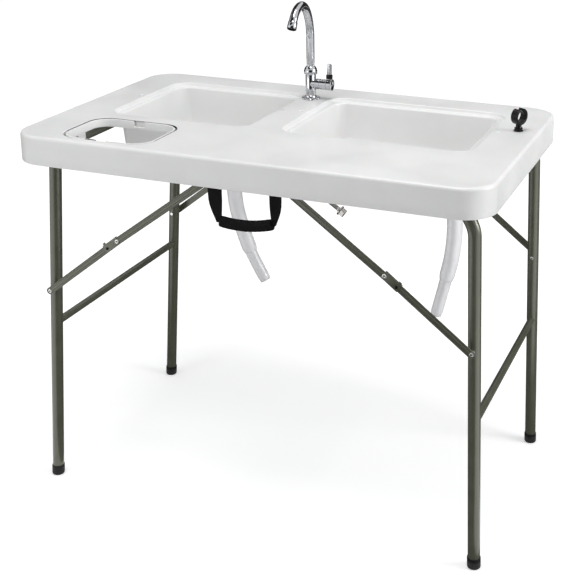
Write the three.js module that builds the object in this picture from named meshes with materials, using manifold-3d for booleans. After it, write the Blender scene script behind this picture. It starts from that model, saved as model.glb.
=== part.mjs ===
// Folding camping sink table: a moulded top with two basins on two folding leg frames.
// Millimetres, +Z up, +X along the table, -Y towards the user. The floor is Z = 0.
import * as THREE from 'three';
import { mergeVertices } from 'three/addons/utils/BufferGeometryUtils.js';
import Module from 'manifold-3d';

const wasm = await Module();
wasm.setup();

// Overall sizes
const tableLength = 1120;
const tableWidth = 700;
const deckHeight = 920;
const rimDepth = 66;
const wall = 5;
const cornerRadius = 75;
const edgeRadius = 10;
const rimDraft = 2;
const clearance = 0.3;
const overrun = 8;

// Places that several pieces share, as shares of the table's length along X and of its width along Y
const basinCentreShare = 0.11286;
const basinCentreY = tableWidth * basinCentreShare;
const faucetXShare = -0.04821;
const faucetYShare = 0.31143;
const faucetX = tableLength * faucetXShare;
const faucetY = tableWidth * faucetYShare;

// Legs: both frames share the hinge height and the width, and stand on the same foot spread
const legRadius = 14.2;
const tubeWall = 1.2;
const hingeInset = 66;
const footSplay = 15;
const footSetBack = 2;
const hingeShare = 0.42679;
const hingeDrop = 40;
const hingeHalfWidth = tableWidth / 2 - hingeInset;
const footHalfWidth = hingeHalfWidth + footSplay;
const footSpread = tableLength / 2 - footSetBack;
const hingeX = tableLength * hingeShare;
const hingeHeight = deckHeight - hingeDrop;
const frameCornerRadius = 50;
const crossBarRadius = 9;
const footRadius = 16.2;
const footHeight = 28;
const footSole = 4;
const footEase = 2.5;

const model = new THREE.Group();

function paint(color, roughness, metalness) {
  return { color, roughness, metalness };
}
const whitePlastic = paint(0xeeeeee, 0.42, 0);
const olivePaint = paint(0x75756a, 0.4, 0.55);
const zincPlate = paint(0xc9c9c6, 0.3, 1);
const chromePlate = paint(0xd8dadc, 0.12, 1);
const brass = paint(0xb7aa92, 0.3, 1);
const blackPlastic = paint(0x1b1b1c, 0.5, 0);
const blackRubber = paint(0x161616, 0.7, 0);
const blackWebbing = paint(0x141415, 0.9, 0);
const paleHose = paint(0xd7d9df, 0.45, 0);
const braidedHose = paint(0x55564f, 0.5, 0.4);

// Solids: a closed geometry becomes a manifold, and a manifold becomes a geometry again
function toSolid(geometry) {
  const bare = geometry.clone();
  bare.deleteAttribute('normal');
  bare.deleteAttribute('uv');
  const merged = mergeVertices(bare, 1e-4);
  return new wasm.Manifold(new wasm.Mesh({
    numProp: 3,
    vertProperties: new Float32Array(merged.attributes.position.array),
    triVerts: new Uint32Array(merged.index.array),
  }));
}

function toGeometry(solid) {
  const mesh = solid.getMesh();
  const geometry = new THREE.BufferGeometry();
  geometry.setAttribute('position', new THREE.BufferAttribute(mesh.vertProperties, 3));
  geometry.setIndex(new THREE.BufferAttribute(mesh.triVerts, 1));
  return geometry;
}

function join(...geometries) {
  return toGeometry(geometries.map(toSolid).reduce((all, next) => all.add(next)));
}

function cut(geometry, ...tools) {
  return toGeometry(tools.map(toSolid).reduce((left, tool) => left.subtract(tool), toSolid(geometry)));
}

function place(name, geometry, look) {
  const smooth = geometry.attributes.normal ? geometry : geometry.toNonIndexed();
  smooth.computeVertexNormals();
  const mesh = new THREE.Mesh(smooth, new THREE.MeshStandardMaterial(look));
  mesh.name = name;
  model.add(mesh);
}

// Basic forms
function box(x0, x1, y0, y1, z0, z1) {
  const form = new THREE.BoxGeometry(x1 - x0, y1 - y0, z1 - z0);
  return form.translate((x0 + x1) / 2, (y0 + y1) / 2, (z0 + z1) / 2);
}

function rod(radius, z0, z1, x, y, sides = 16) {
  const form = new THREE.CylinderGeometry(radius, radius, z1 - z0, sides);
  return form.rotateX(Math.PI / 2).translate(x, y, (z0 + z1) / 2);
}

// A revolve about Z: the profile runs from low to high as [radius, height] pairs
function turned(profile, sides = 20) {
  const points = profile.map(([radius, height]) => new THREE.Vector2(radius, height));
  return new THREE.LatheGeometry(points, sides).rotateX(Math.PI / 2);
}

// A ring of points round a rounded rectangle at one height, anticlockwise seen from above
function outline(centreX, centreY, halfX, halfY, radius, height, steps = 5) {
  const ring = [];
  const corners = [[1, 1], [-1, 1], [-1, -1], [1, -1]];
  corners.forEach(([sideX, sideY], quarter) => {
    for (let step = 0; step <= steps; step += 1) {
      const angle = (quarter + step / steps) * Math.PI / 2;
      ring.push(new THREE.Vector3(
        centreX + sideX * (halfX - radius) + radius * Math.cos(angle),
        centreY + sideY * (halfY - radius) + radius * Math.sin(angle),
        height,
      ));
    }
  });
  return ring;
}

// A closed skin over rings of equal point counts, from the lowest ring to the highest
function loft(rings) {
  const count = rings[0].length;
  const top = (rings.length - 1) * count;
  const index = [];
  for (let ring = 0; ring < rings.length - 1; ring += 1) {
    for (let point = 0; point < count; point += 1) {
      const a = ring * count + point;
      const b = ring * count + (point + 1) % count;
      index.push(a, b, b + count, a, b + count, a + count);
    }
  }
  for (let point = 1; point < count - 1; point += 1) {
    index.push(0, point + 1, point);
    index.push(top, top + point, top + point + 1);
  }
  const geometry = new THREE.BufferGeometry().setFromPoints(rings.flat());
  geometry.setIndex(index);
  return geometry;
}

// A path whose steps fall exactly on the given stations
class StationPath extends THREE.Curve {
  constructor(stations) {
    super();
    this.stations = stations;
  }

  getPoint(share) {
    const along = share * (this.stations.length - 1);
    const step = Math.min(Math.floor(along), this.stations.length - 2);
    return this.stations[step].clone().lerp(this.stations[step + 1], along - step);
  }

  getPointAt(share) {
    return this.getPoint(share);
  }

  getTangentAt(share) {
    const last = this.stations.length - 1;
    const here = Math.round(share * last);
    const before = this.stations[Math.max(here - 1, 0)];
    const middle = this.stations[here];
    const after = this.stations[Math.min(here + 1, last)];
    const arriving = middle.clone().sub(before).normalize();
    const leaving = after.clone().sub(middle).normalize();
    return arriving.add(leaving).normalize();
  }
}

// Straight runs between corners, each corner rounded with its radius in equal steps
function roundedStations(corners, radius, steps) {
  const stations = [corners[0].clone()];
  for (let corner = 1; corner < corners.length - 1; corner += 1) {
    const arriving = corners[corner].clone().sub(corners[corner - 1]).normalize();
    const leaving = corners[corner + 1].clone().sub(corners[corner]).normalize();
    const turn = arriving.angleTo(leaving);
    const setBack = radius * Math.tan(turn / 2);
    const start = corners[corner].clone().addScaledVector(arriving, -setBack);
    const inward = leaving.clone().addScaledVector(arriving, -arriving.dot(leaving)).normalize();
    for (let step = 0; step <= steps; step += 1) {
      const angle = turn * step / steps;
      stations.push(start.clone()
        .addScaledVector(arriving, radius * Math.sin(angle))
        .addScaledVector(inward, radius * (1 - Math.cos(angle))));
    }
  }
  stations.push(corners[corners.length - 1].clone());
  return stations;
}

// A solid or hollow round tube along stations; sides is even
function tube(stations, radius, sides = 12, bore = 0) {
  const section = new THREE.Shape();
  section.absarc(0, 0, radius, 0, Math.PI * 2);
  if (bore > 0) {
    const hollow = new THREE.Path();
    hollow.absarc(0, 0, bore, 0, Math.PI * 2, true);
    section.holes.push(hollow);
  }
  return new THREE.ExtrudeGeometry(section, {
    steps: stations.length - 1,
    extrudePath: new StationPath(stations),
    curveSegments: sides / 2,
  });
}

// A flat plate from an outline drawn in the X-Z plane, between two places across the table
function plate(shape, y0, y1, curveSegments = 6) {
  const form = new THREE.ExtrudeGeometry(shape, { depth: y1 - y0, bevelEnabled: false, curveSegments });
  return form.rotateX(Math.PI / 2).translate(0, y1, 0);
}

// A hexagonal nut about Z with a bore
function nut(acrossFlats, bore, z0, z1, x, y) {
  const body = rod(acrossFlats / Math.sqrt(3), z0, z1, x, y, 6);
  return cut(body, rod(bore, z0 - overrun, z1 + overrun, x, y));
}

// Moulded top
const rimBottom = deckHeight - rimDepth;
const deckUnderside = deckHeight - wall;
const ledgeDepth = 8;
const ledgeWidth = 17.5;
const ledgeSlope = 3;
const ledgeRadius = 45;
const ledgeLand = 4;
const basinDepth = 110;
const basinDraft = 8;
const basinFloorRadius = 18;
const basinRadius = ledgeRadius - ledgeWidth;
const rimLip = 2;
const rimSteps = 8;
const collarSteps = 7;
const basinFloor = deckHeight - basinDepth;
const basinHalfShare = 0.25286;
const basinHalfWidth = tableWidth * basinHalfShare;
const basinShares = [
  { side: 'left', centre: -0.23839, half: 0.16339, drain: -0.1875, dimples: [-0.41696, -0.06696] },
  { side: 'right', centre: 0.19821, half: 0.20357, drain: 0.33482, dimples: [-0.02232, 0.41875] },
];
const basins = basinShares.map(({ side, centre, half, drain, dimples }) => ({
  side,
  centreX: tableLength * centre,
  halfX: tableLength * half,
  drainX: tableLength * drain,
  dimples: dimples.map((share) => tableLength * share),
}));
const dimpleShift = 10;
const dimpleY = basinCentreY + dimpleShift;
const dimpleRadius = 6;
const dimpleDepth = 3;

function topOuter() {
  const rings = [];
  const halfX = tableLength / 2;
  const halfY = tableWidth / 2;
  const shoulder = deckHeight - edgeRadius;
  rings.push(outline(0, 0, halfX - rimLip, halfY - rimLip, cornerRadius - rimLip, rimBottom, rimSteps));
  rings.push(outline(0, 0, halfX, halfY, cornerRadius, rimBottom + rimLip, rimSteps));
  const filletSteps = 5;
  for (let step = 0; step <= filletSteps; step += 1) {
    const angle = step / filletSteps * Math.PI / 2;
    const inset = rimDraft + edgeRadius * (1 - Math.cos(angle));
    const height = shoulder + edgeRadius * Math.sin(angle);
    rings.push(outline(0, 0, halfX - inset, halfY - inset, cornerRadius - inset, height, rimSteps));
  }
  return loft(rings);
}

function topCavity() {
  const halfX = tableLength / 2 - wall;
  const halfY = tableWidth / 2 - wall;
  const radius = cornerRadius - wall;
  const inner = edgeRadius - wall;
  const shoulder = deckUnderside - inner;
  const rings = [outline(0, 0, halfX, halfY, radius, rimBottom - overrun, rimSteps)];
  const filletSteps = 3;
  for (let step = 0; step <= filletSteps; step += 1) {
    const angle = step / filletSteps * Math.PI / 2;
    const inset = rimDraft + inner * (1 - Math.cos(angle));
    const height = shoulder + inner * Math.sin(angle);
    rings.push(outline(0, 0, halfX - inset, halfY - inset, radius - inset, height, rimSteps));
  }
  return loft(rings);
}

// The basin's hollow, or its outer skin when grown by the wall
function basinForm(basin, grow) {
  const { centreX, halfX } = basin;
  const mouthX = halfX - ledgeWidth + grow;
  const mouthY = basinHalfWidth - ledgeWidth + grow;
  const mouthRadius = basinRadius + grow;
  const mouthHeight = deckHeight - ledgeDepth;
  const floorHeight = basinFloor - grow;
  const rise = basinFloorRadius + grow;
  const rings = [];
  const filletSteps = 3;
  for (let step = 0; step <= filletSteps; step += 1) {
    const angle = step / filletSteps * Math.PI / 2;
    const height = floorHeight + rise * (1 - Math.cos(angle));
    const slope = basinDraft * (mouthHeight - height) / (mouthHeight - floorHeight);
    const inset = slope + rise * (1 - Math.sin(angle));
    const radius = Math.max(mouthRadius - inset, rise / 2);
    rings.push(outline(centreX, basinCentreY, mouthX - inset, mouthY - inset, radius, height));
  }
  if (grow === 0) rings.push(outline(centreX, basinCentreY, mouthX, mouthY, mouthRadius, mouthHeight));
  const top = grow > 0 ? mouthHeight - wall / 2 : mouthHeight + ledgeDepth / 2;
  rings.push(outline(centreX, basinCentreY, mouthX, mouthY, mouthRadius, top));
  return loft(rings);
}

// The ledge's outline in plan, grown outwards, at one height
function ledgeOutline(basin, grow, height) {
  const { centreX, halfX } = basin;
  return outline(centreX, basinCentreY, halfX + grow, basinHalfWidth + grow, ledgeRadius + grow, height);
}

// One basin with its ledge, a bowl that stays open above, and its drain hole
function basinBowl(basin) {
  const low = deckHeight - ledgeDepth;
  const tray = loft([ledgeOutline(basin, ledgeLand, low - wall), ledgeOutline(basin, ledgeLand, deckHeight)]);
  const recess = loft([
    ledgeOutline(basin, -ledgeSlope, low),
    ledgeOutline(basin, 0, deckHeight),
    ledgeOutline(basin, 0, deckHeight + overrun),
  ]);
  const hole = drainTailRadius + clearance;
  const drainHole = rod(hole, basinFloor - wall - overrun, basinFloor + overrun, basin.drainX, basinCentreY, 24);
  return cut(join(tray, basinForm(basin, wall)), recess, basinForm(basin, 0), drainHole);
}

// Waste opening: a collar under the deck whose bottom lip carries the bag ring
const wasteXShare = -0.29955;
const wasteYShare = -0.32857;
const wasteHalfXShare = 0.10179;
const wasteHalfYShare = 0.13;
const wasteX = tableLength * wasteXShare;
const wasteY = tableWidth * wasteYShare;
const wasteHalfX = tableLength * wasteHalfXShare;
const wasteHalfY = tableWidth * wasteHalfYShare;
const wasteRadius = 47;
const collarDepth = 19;
const collarBottom = deckHeight - collarDepth;
const lipThickness = 2.5;
const ringGap = 3;
const ringCornerEase = 5;
const ringWall = 5;
const ringSink = 0.4;
const ringNotch = 30;
const ringNotchShift = -1.5;
const ringNotchX = wasteX + ringNotchShift;
const ringNotchDepth = 13;
const fingerNotchDepth = 6;
const lipWidth = ringGap + ringWall;

function wasteOutline(inset, height) {
  return outline(wasteX, wasteY, wasteHalfX - inset, wasteHalfY - inset, wasteRadius - inset, height, collarSteps);
}

// Under the deck: the hinge blocks that the frames' top tubes turn in
const saddleLength = 30;
const saddleBendGap = 9;
const saddleY = hingeHalfWidth - frameCornerRadius - saddleBendGap - saddleLength / 2;
const saddleHalfWidth = 24;
const saddleThickness = 2;

function hingeBlock(side, across) {
  const block = box(
    side * hingeX - saddleHalfWidth, side * hingeX + saddleHalfWidth,
    across * saddleY - saddleLength / 2, across * saddleY + saddleLength / 2,
    hingeHeight, deckUnderside + wall / 2,
  );
  const groove = rod(legRadius + clearance, -saddleLength, saddleLength, 0, 0, 24)
    .rotateX(Math.PI / 2)
    .translate(side * hingeX, across * saddleY, hingeHeight);
  return cut(block, groove);
}

// Drains, faucet and clip seat in round holes of the top
const drainBore = 16;
const drainTailRadius = 20;
const drainFlangeRadius = 30;
const drainFlangeThickness = 3;
const shankRadius = 10;
const clipXShare = 0.45357;
const clipYShare = 0.16143;
const clipX = tableLength * clipXShare;
const clipY = tableWidth * clipYShare;
const clipPegRadius = 6;

// Carry strap sizes, shared with its lugs in the moulding
const handleShare = 0.02232;
const handleX = tableLength * handleShare;
const handleInset = 12;
const handleY = handleInset - tableWidth / 2;
const strapLift = 2;
const handleTop = rimBottom + strapLift;
const handleEnds = [
  { reach: -71, width: 31, inward: 1, gripReach: -59, gripDrop: 78 },
  { reach: 71, width: 26, inward: -1, gripReach: 62, gripDrop: 70 },
].map(({ reach, width, inward, gripReach, gripDrop }) => ({
  x: handleX + reach,
  width,
  inward,
  gripEnd: handleX + gripReach,
  gripHeight: handleTop - gripDrop,
}));
const strapThickness = 2.4;
const gripRadius = 11.5;
const gripCore = 4;
const coreReach = 6;
const gripSag = 7;
const lugHeight = 30;
const lugDepth = 10;

// A lug inside the front rim that holds one end of the carry strap
function strapLug(end) {
  const face = -tableWidth / 2 + wall;
  const low = handleTop + clearance;
  const half = end.width / 2;
  return box(end.x - half, end.x + half, face - wall / 2, face + lugDepth, low, low + lugHeight);
}

function moulding() {
  const parts = [cut(topOuter(), topCavity())];
  [-1, 1].forEach((side) => [-1, 1].forEach((across) => parts.push(hingeBlock(side, across))));
  handleEnds.forEach((end) => parts.push(strapLug(end)));
  parts.push(loft([wasteOutline(-wall, collarBottom), wasteOutline(-wall, deckHeight - wall / 2)]));
  const tools = [];
  basins.forEach((basin) => {
    const reach = ledgeLand + clearance;
    tools.push(loft([
      ledgeOutline(basin, reach, deckUnderside - overrun),
      ledgeOutline(basin, reach, deckHeight + overrun),
    ]));
    basin.dimples.forEach((x) => {
      tools.push(rod(dimpleRadius, deckHeight - dimpleDepth, deckHeight + overrun, x, dimpleY, 12));
    });
  });
  tools.push(loft([wasteOutline(0, collarBottom + lipThickness), wasteOutline(0, deckHeight + overrun)]));
  tools.push(loft([wasteOutline(lipWidth, collarBottom - overrun), wasteOutline(lipWidth, deckHeight + overrun)]));
  tools.push(rod(shankRadius + clearance, deckUnderside - overrun, deckHeight + overrun, faucetX, faucetY));
  tools.push(rod(clipPegRadius + clearance, deckUnderside - overrun, deckHeight + overrun, clipX, clipY));
  return cut(join(...parts), ...tools);
}
place('table_top', moulding(), whitePlastic);
basins.forEach((basin) => place(`${basin.side}_basin`, basinBowl(basin), whitePlastic));

// Bag ring: a band that drops into the waste opening and holds the rim of a bag
function wasteRing() {
  const low = collarBottom + lipThickness + clearance;
  const high = deckHeight - ringSink;
  const band = (inset, height) => {
    const radius = wasteRadius + ringCornerEase - inset;
    return outline(wasteX, wasteY, wasteHalfX - inset, wasteHalfY - inset, radius, height, collarSteps);
  };
  const fullBand = cut(
    loft([band(ringGap, low), band(ringGap, high)]),
    loft([band(lipWidth, low - overrun), band(lipWidth, high + overrun)]),
  );
  const back = wasteY + wasteHalfY;
  const front = wasteY - wasteHalfY;
  const left = ringNotchX - ringNotch / 2;
  const right = ringNotchX + ringNotch / 2;
  const notch = box(left, right, back - lipWidth - overrun, back + overrun, high - ringNotchDepth, high + overrun);
  const finger = box(left, right, front - overrun, front + lipWidth + overrun, high - fingerNotchDepth, high + overrun);
  return cut(fullBand, notch, finger);
}
place('waste_ring', wasteRing(), whitePlastic);

// Drains: flange with a cross grid and threaded tail, and back nut
const drainNutRadius = 29;
const drainNutHeight = 12;
const nutCollar = 4;
const drainTailLength = 40;
const drainTailBottom = basinFloor - drainTailLength;
const gridBar = 4;
const edgeEase = 1;

function drainBody(x) {
  const seat = basinFloor + clearance;
  const body = turned([
    [drainBore, drainTailBottom],
    [drainTailRadius - edgeEase, drainTailBottom],
    [drainTailRadius, drainTailBottom + edgeEase],
    [drainTailRadius, seat],
    [drainFlangeRadius, seat],
    [drainFlangeRadius - edgeEase, seat + drainFlangeThickness],
    [drainBore + 2 * edgeEase, seat + drainFlangeThickness],
    [drainBore, seat],
    [drainBore, drainTailBottom],
  ], 24);
  const low = seat - drainFlangeThickness;
  const high = seat;
  const bars = [
    box(-drainBore - edgeEase, drainBore + edgeEase, -gridBar / 2, gridBar / 2, low, high),
    box(-gridBar / 2, gridBar / 2, -drainBore - edgeEase, drainBore + edgeEase, low, high),
  ];
  return join(body, ...bars).translate(x, basinCentreY, 0);
}

function drainNut(x) {
  const high = basinFloor - wall - clearance;
  const low = high - drainNutHeight;
  const blank = rod(drainNutRadius, low, high, 0, 0, 8);
  const collar = rod(drainNutRadius - nutCollar, low - nutCollar, low + edgeEase, 0, 0, 24);
  const bore = rod(drainTailRadius + clearance, low - overrun, high + overrun, 0, 0, 24);
  return cut(join(blank, collar), bore).translate(x, basinCentreY, 0);
}

basins.forEach((basin) => {
  place(`${basin.side}_drain`, drainBody(basin.drainX), whitePlastic);
  place(`${basin.side}_drain_nut`, drainNut(basin.drainX), whitePlastic);
});

// Drain hoses: points chosen by hand, from the middle of the drain tail's end
const hoseRadius = 15;
const cuffRadius = 19;
const leftHosePoints = [
  [0, 0, 0], [0, 0, -54.7], [5, 0, -112.7], [21, 0, -173.7], [42, 0, -232.7], [62, 0, -271.7],
  [82, 0, -307.7],
];
const rightHosePoints = [
  [0, 0, 0], [0, 0, -51.7], [1, 0, -112.7], [-4, 0, -172.7], [-16, 0, -232.7], [-27, 0, -281.7],
  [-38, 0, -329.7],
];
const cuffSteps = 4;

function stationsOf(points, startX, startY, startZ) {
  return points.map(([x, y, z]) => new THREE.Vector3(startX + x, startY + y, startZ + z));
}

// The hose's wide upper length pushes over the drain tail, and its lower length is narrower
function drainHose(basin, points) {
  const stations = stationsOf(points, basin.drainX, basinCentreY, drainTailBottom - clearance);
  const cuff = tube(stations.slice(0, cuffSteps + 1), cuffRadius);
  const hose = tube(stations.slice(cuffSteps - 1), hoseRadius);
  place(`${basin.side}_drain_hose`, join(cuff, hose), paleHose);
}
drainHose(basins[0], leftHosePoints);
drainHose(basins[1], rightHosePoints);

// Faucet: notched flange, body with side barrel and shank, dome nut, swinging spout, lever
const flangeRadius = 22.5;
const flangeThickness = 4;
const flangeNotches = 8;
const flangeNotchRadius = 4;
const bodyRadius = 13;
const bodyRise = 63;
const bodyTop = deckHeight + bodyRise;
const bodyFoot = 1.5;
const bodyFootHeight = 3;
const bodyFootEase = 2;
const shankDrop = 43;
const shankBottom = deckHeight - shankDrop;
const barrelRadius = 13;
const barrelRise = 39;
const barrelHeight = deckHeight + barrelRise;
const barrelLength = 44;
const hubLength = 12;
const endDiscRadius = 15;
const endDiscThickness = 2.5;
const collarRadius = 17;
const collarHeight = 20;
const collarTop = bodyTop + collarHeight;
const collarBand = 8;
const collarEase = 4;
const spoutRadius = 10.2;
const spoutSeat = bodyTop + clearance;
const spoutBendRadius = 56;
const spoutRise = 184;
const spoutBendHeight = deckHeight + spoutRise;
const spoutBendEnd = 150;
const spoutEase = 34;
const spoutLip = 3;
const aeratorRadius = 11.6;
const aeratorLength = 18;
const mouthDepth = 3;
const aeratorWall = 2;
const leverReach = 53;
const leverWidth = 13;
const leverThickness = 3;
const leverRoot = 3;
const sleeveReach = 26;
const sleeveWall = 3;
const locknutFlats = 26;
const locknutHeight = 11;

function faucetFlange() {
  const low = deckHeight + clearance;
  const high = low + flangeThickness;
  const disc = rod(flangeRadius, low, high, 0, 0, 24);
  const tools = [rod(shankRadius + clearance, low - overrun, high + overrun, 0, 0)];
  for (let notch = 0; notch < flangeNotches; notch += 1) {
    const angle = (notch + 0.5) / flangeNotches * Math.PI * 2;
    const x = flangeRadius * Math.cos(angle);
    const y = flangeRadius * Math.sin(angle);
    tools.push(rod(flangeNotchRadius, low + flangeThickness / 3, high + overrun, x, y, 10));
  }
  return cut(disc, ...tools).translate(faucetX, faucetY, 0);
}

function faucetBody() {
  const seat = deckHeight + flangeThickness + 2 * clearance;
  const column = turned([
    [0, shankBottom],
    [shankRadius - edgeEase, shankBottom],
    [shankRadius, shankBottom + edgeEase],
    [shankRadius, seat],
    [bodyRadius + bodyFoot, seat],
    [bodyRadius + bodyFoot, seat + bodyFootHeight],
    [bodyRadius, seat + bodyFootHeight + bodyFootEase],
    [bodyRadius, bodyTop],
    [0, bodyTop],
  ], 20);
  const barrel = rod(barrelRadius, 0, barrelLength, 0, 0, 20)
    .rotateY(Math.PI / 2)
    .translate(0, 0, barrelHeight);
  return join(column, barrel).translate(faucetX, faucetY, 0);
}

function domeNut() {
  const low = bodyTop + clearance;
  const bore = spoutRadius + clearance;
  return turned([
    [bore, low],
    [collarRadius, low],
    [collarRadius, low + collarBand],
    [collarRadius - bodyFoot, low + collarBand + collarEase],
    [collarRadius - 3 * bodyFoot, collarTop - 2 * edgeEase],
    [spoutRadius + bodyFoot, collarTop],
    [bore, collarTop],
    [bore, low],
  ], 20).translate(faucetX, faucetY, 0);
}

// Centre line of the spout: up in a long easy curve, then over towards the user, with a short straight end
const spoutSweep = THREE.MathUtils.degToRad(spoutBendEnd);
const spoutEndDirection = new THREE.Vector3(0, -Math.sin(spoutSweep), Math.cos(spoutSweep));

function spoutStations() {
  const stations = [new THREE.Vector3(faucetX, faucetY, spoutSeat)];
  const bendSteps = 12;
  for (let step = 0; step <= bendSteps; step += 1) {
    const angle = spoutSweep * step / bendSteps;
    const ease = angle < Math.PI / 2 ? spoutEase : 0;
    stations.push(new THREE.Vector3(
      faucetX,
      faucetY - spoutBendRadius * (1 - Math.cos(angle)),
      spoutBendHeight - ease + (spoutBendRadius + ease) * Math.sin(angle),
    ));
  }
  stations.push(stations[bendSteps + 1].clone().addScaledVector(spoutEndDirection, spoutLip));
  return stations;
}

function aerator() {
  const stations = spoutStations();
  const end = stations[stations.length - 1];
  const tilt = Math.PI - spoutSweep;
  const mouth = aeratorRadius - aeratorWall;
  const form = turned([
    [0, mouthDepth - aeratorLength],
    [mouth, mouthDepth - aeratorLength],
    [mouth, -aeratorLength],
    [aeratorRadius, -aeratorLength],
    [aeratorRadius, -clearance - edgeEase],
    [aeratorRadius - edgeEase, -clearance],
    [0, -clearance],
  ], 20);
  return form.rotateX(-tilt).translate(end.x, end.y, end.z);
}

function leverPiece() {
  const hubStart = barrelLength + clearance;
  const hubEnd = hubStart + hubLength;
  const hub = rod(barrelRadius, hubStart, hubEnd, 0, 0, 20).rotateY(Math.PI / 2);
  const disc = rod(endDiscRadius, hubEnd - edgeEase, hubEnd + endDiscThickness, 0, 0, 20).rotateY(Math.PI / 2);
  const centre = (hubStart + hubEnd) / 2;
  const low = barrelRadius - leverRoot;
  const blade = box(
    centre - leverWidth / 2 + edgeEase, centre + leverWidth / 2,
    -leverThickness / 2, leverThickness / 2, low, leverReach,
  );
  return join(hub, disc, blade).translate(faucetX, faucetY, barrelHeight);
}

function leverSleeve() {
  const centre = barrelLength + clearance + hubLength / 2;
  const halfX = leverWidth / 2 + edgeEase;
  const halfY = leverThickness / 2 + sleeveWall;
  const low = endDiscRadius + clearance;
  const sleeve = box(centre - halfX, centre + halfX, -halfY, halfY, low, sleeveReach);
  const slot = box(
    centre - leverWidth / 2 + edgeEase - clearance, centre + leverWidth / 2 + clearance,
    -leverThickness / 2 - clearance, leverThickness / 2 + clearance, low - overrun, sleeveReach + overrun,
  );
  return cut(sleeve, slot).translate(faucetX, faucetY, barrelHeight);
}

place('faucet_flange', faucetFlange(), chromePlate);
place('faucet_body', faucetBody(), chromePlate);
place('faucet_locknut', nut(locknutFlats, shankRadius + clearance, deckUnderside - clearance - locknutHeight,
  deckUnderside - clearance, faucetX, faucetY), brass);
place('spout_dome_nut', domeNut(), chromePlate);
place('spout', tube(spoutStations(), spoutRadius, 14), chromePlate);
place('spout_aerator', aerator(), chromePlate);
place('faucet_lever', leverPiece(), chromePlate);
place('lever_sleeve', leverSleeve(), blackPlastic);

// Supply hose: coupling nut under the shank, braided hose and its end connector
const supplyRadius = 5.5;
const couplingTop = shankBottom - clearance;
const couplingHeight = 18.7;
const couplingRadius = 11;
const couplingBottom = couplingTop - couplingHeight;
const supplyPoints = [
  [0, 0, -0.3], [0, 0, -23], [0, -0.5, -47], [1, -2, -71], [4, -4.5, -95], [9, -7.5, -119],
  [17, -11, -143], [27.5, -14, -165], [40, -16.5, -184], [56, -18, -200.5], [79, -18, -216],
];
const supplyStations = stationsOf(supplyPoints, faucetX, faucetY, couplingBottom);
const connectorNeck = 6;
const connectorFlats = 21;
const connectorCollar = 13;
const neckLength = 8;
const collarLength = 4;
const connectorNutLength = 13;

function supplyConnector() {
  const end = supplyStations[supplyStations.length - 1];
  const before = supplyStations[supplyStations.length - 2];
  const direction = end.clone().sub(before).normalize();
  const neckEnd = clearance + neckLength;
  const neck = rod(connectorNeck, clearance, neckEnd + edgeEase, 0, 0, 12);
  const collar = rod(connectorCollar, neckEnd, neckEnd + collarLength, 0, 0, 16);
  const barrelEnd = neckEnd + collarLength + connectorNutLength;
  const hex = rod(connectorFlats / Math.sqrt(3), neckEnd + collarLength - edgeEase, barrelEnd, 0, 0, 6);
  const socket = rod(connectorNeck + edgeEase, barrelEnd - connectorNutLength / 2, barrelEnd + overrun, 0, 0, 12);
  const form = cut(join(neck, collar, hex), socket);
  const turn = new THREE.Quaternion().setFromUnitVectors(new THREE.Vector3(0, 0, 1), direction);
  return form.applyQuaternion(turn).translate(end.x, end.y, end.z);
}

place('supply_coupling', rod(couplingRadius, couplingBottom, couplingTop, faucetX, faucetY, 12), brass);
place('supply_hose', tube(supplyStations, supplyRadius, 8), braidedHose);
place('supply_connector', supplyConnector(), brass);

// Hose clip: an open ring on a short stem with a foot, turned towards the table's end
const clipOuter = 19.5;
const clipInner = 13.5;
const clipWidth = 18;
const clipRise = 35;
const clipCentreHeight = deckHeight + clipRise;
const clipPegEnd = 2;
const clipFootEdge = 2;
const clipStemTaper = 1.5;
const clipGap = 46;
const clipFootRadius = 11;
const clipFootHeight = 5;
const clipStemRadius = 8.5;
const clipTurn = 61;

function hoseClip() {
  const gap = THREE.MathUtils.degToRad(clipGap);
  const start = Math.PI / 2 + gap / 2;
  const end = Math.PI / 2 - gap / 2 + Math.PI * 2;
  const shape = new THREE.Shape();
  shape.absarc(0, 0, clipOuter, start, end, false);
  shape.absarc(0, 0, clipInner, end, start, true);
  const ring = plate(shape, -clipWidth / 2, clipWidth / 2, 12).translate(0, 0, clipCentreHeight);
  const low = deckHeight + clearance;
  const stemTop = clipCentreHeight - (clipOuter + clipInner) / 2;
  const post = turned([
    [0, deckUnderside - clipPegEnd],
    [clipPegRadius, deckUnderside - clipPegEnd],
    [clipPegRadius, low],
    [clipFootRadius, low],
    [clipFootRadius, low + clipFootEdge],
    [clipStemRadius, low + clipFootHeight],
    [clipStemRadius - clipStemTaper, stemTop],
    [0, stemTop],
  ], 16);
  return join(ring, post)
    .rotateZ(THREE.MathUtils.degToRad(clipTurn))
    .translate(clipX, clipY, 0);
}
place('hose_clip', hoseClip(), blackPlastic);

// Carry handle: two straps under the front rim that draw in to a padded grip
// Centre line of the grip, with the core's reach beyond each end
function gripStations(reach) {
  const [from, to] = handleEnds.map((end) => new THREE.Vector3(end.gripEnd, handleY, end.gripHeight));
  const stations = [];
  const steps = 8;
  for (let step = 0; step <= steps; step += 1) {
    const share = step / steps;
    const station = from.clone().lerp(to, share);
    station.z -= gripSag * 4 * share * (1 - share);
    stations.push(station);
  }
  if (reach === 0) return stations;
  const beyond = (end, inner) => end.clone().addScaledVector(end.clone().sub(inner).normalize(), reach);
  return [beyond(stations[0], stations[1]), ...stations, beyond(stations[steps], stations[steps - 1])];
}

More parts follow.
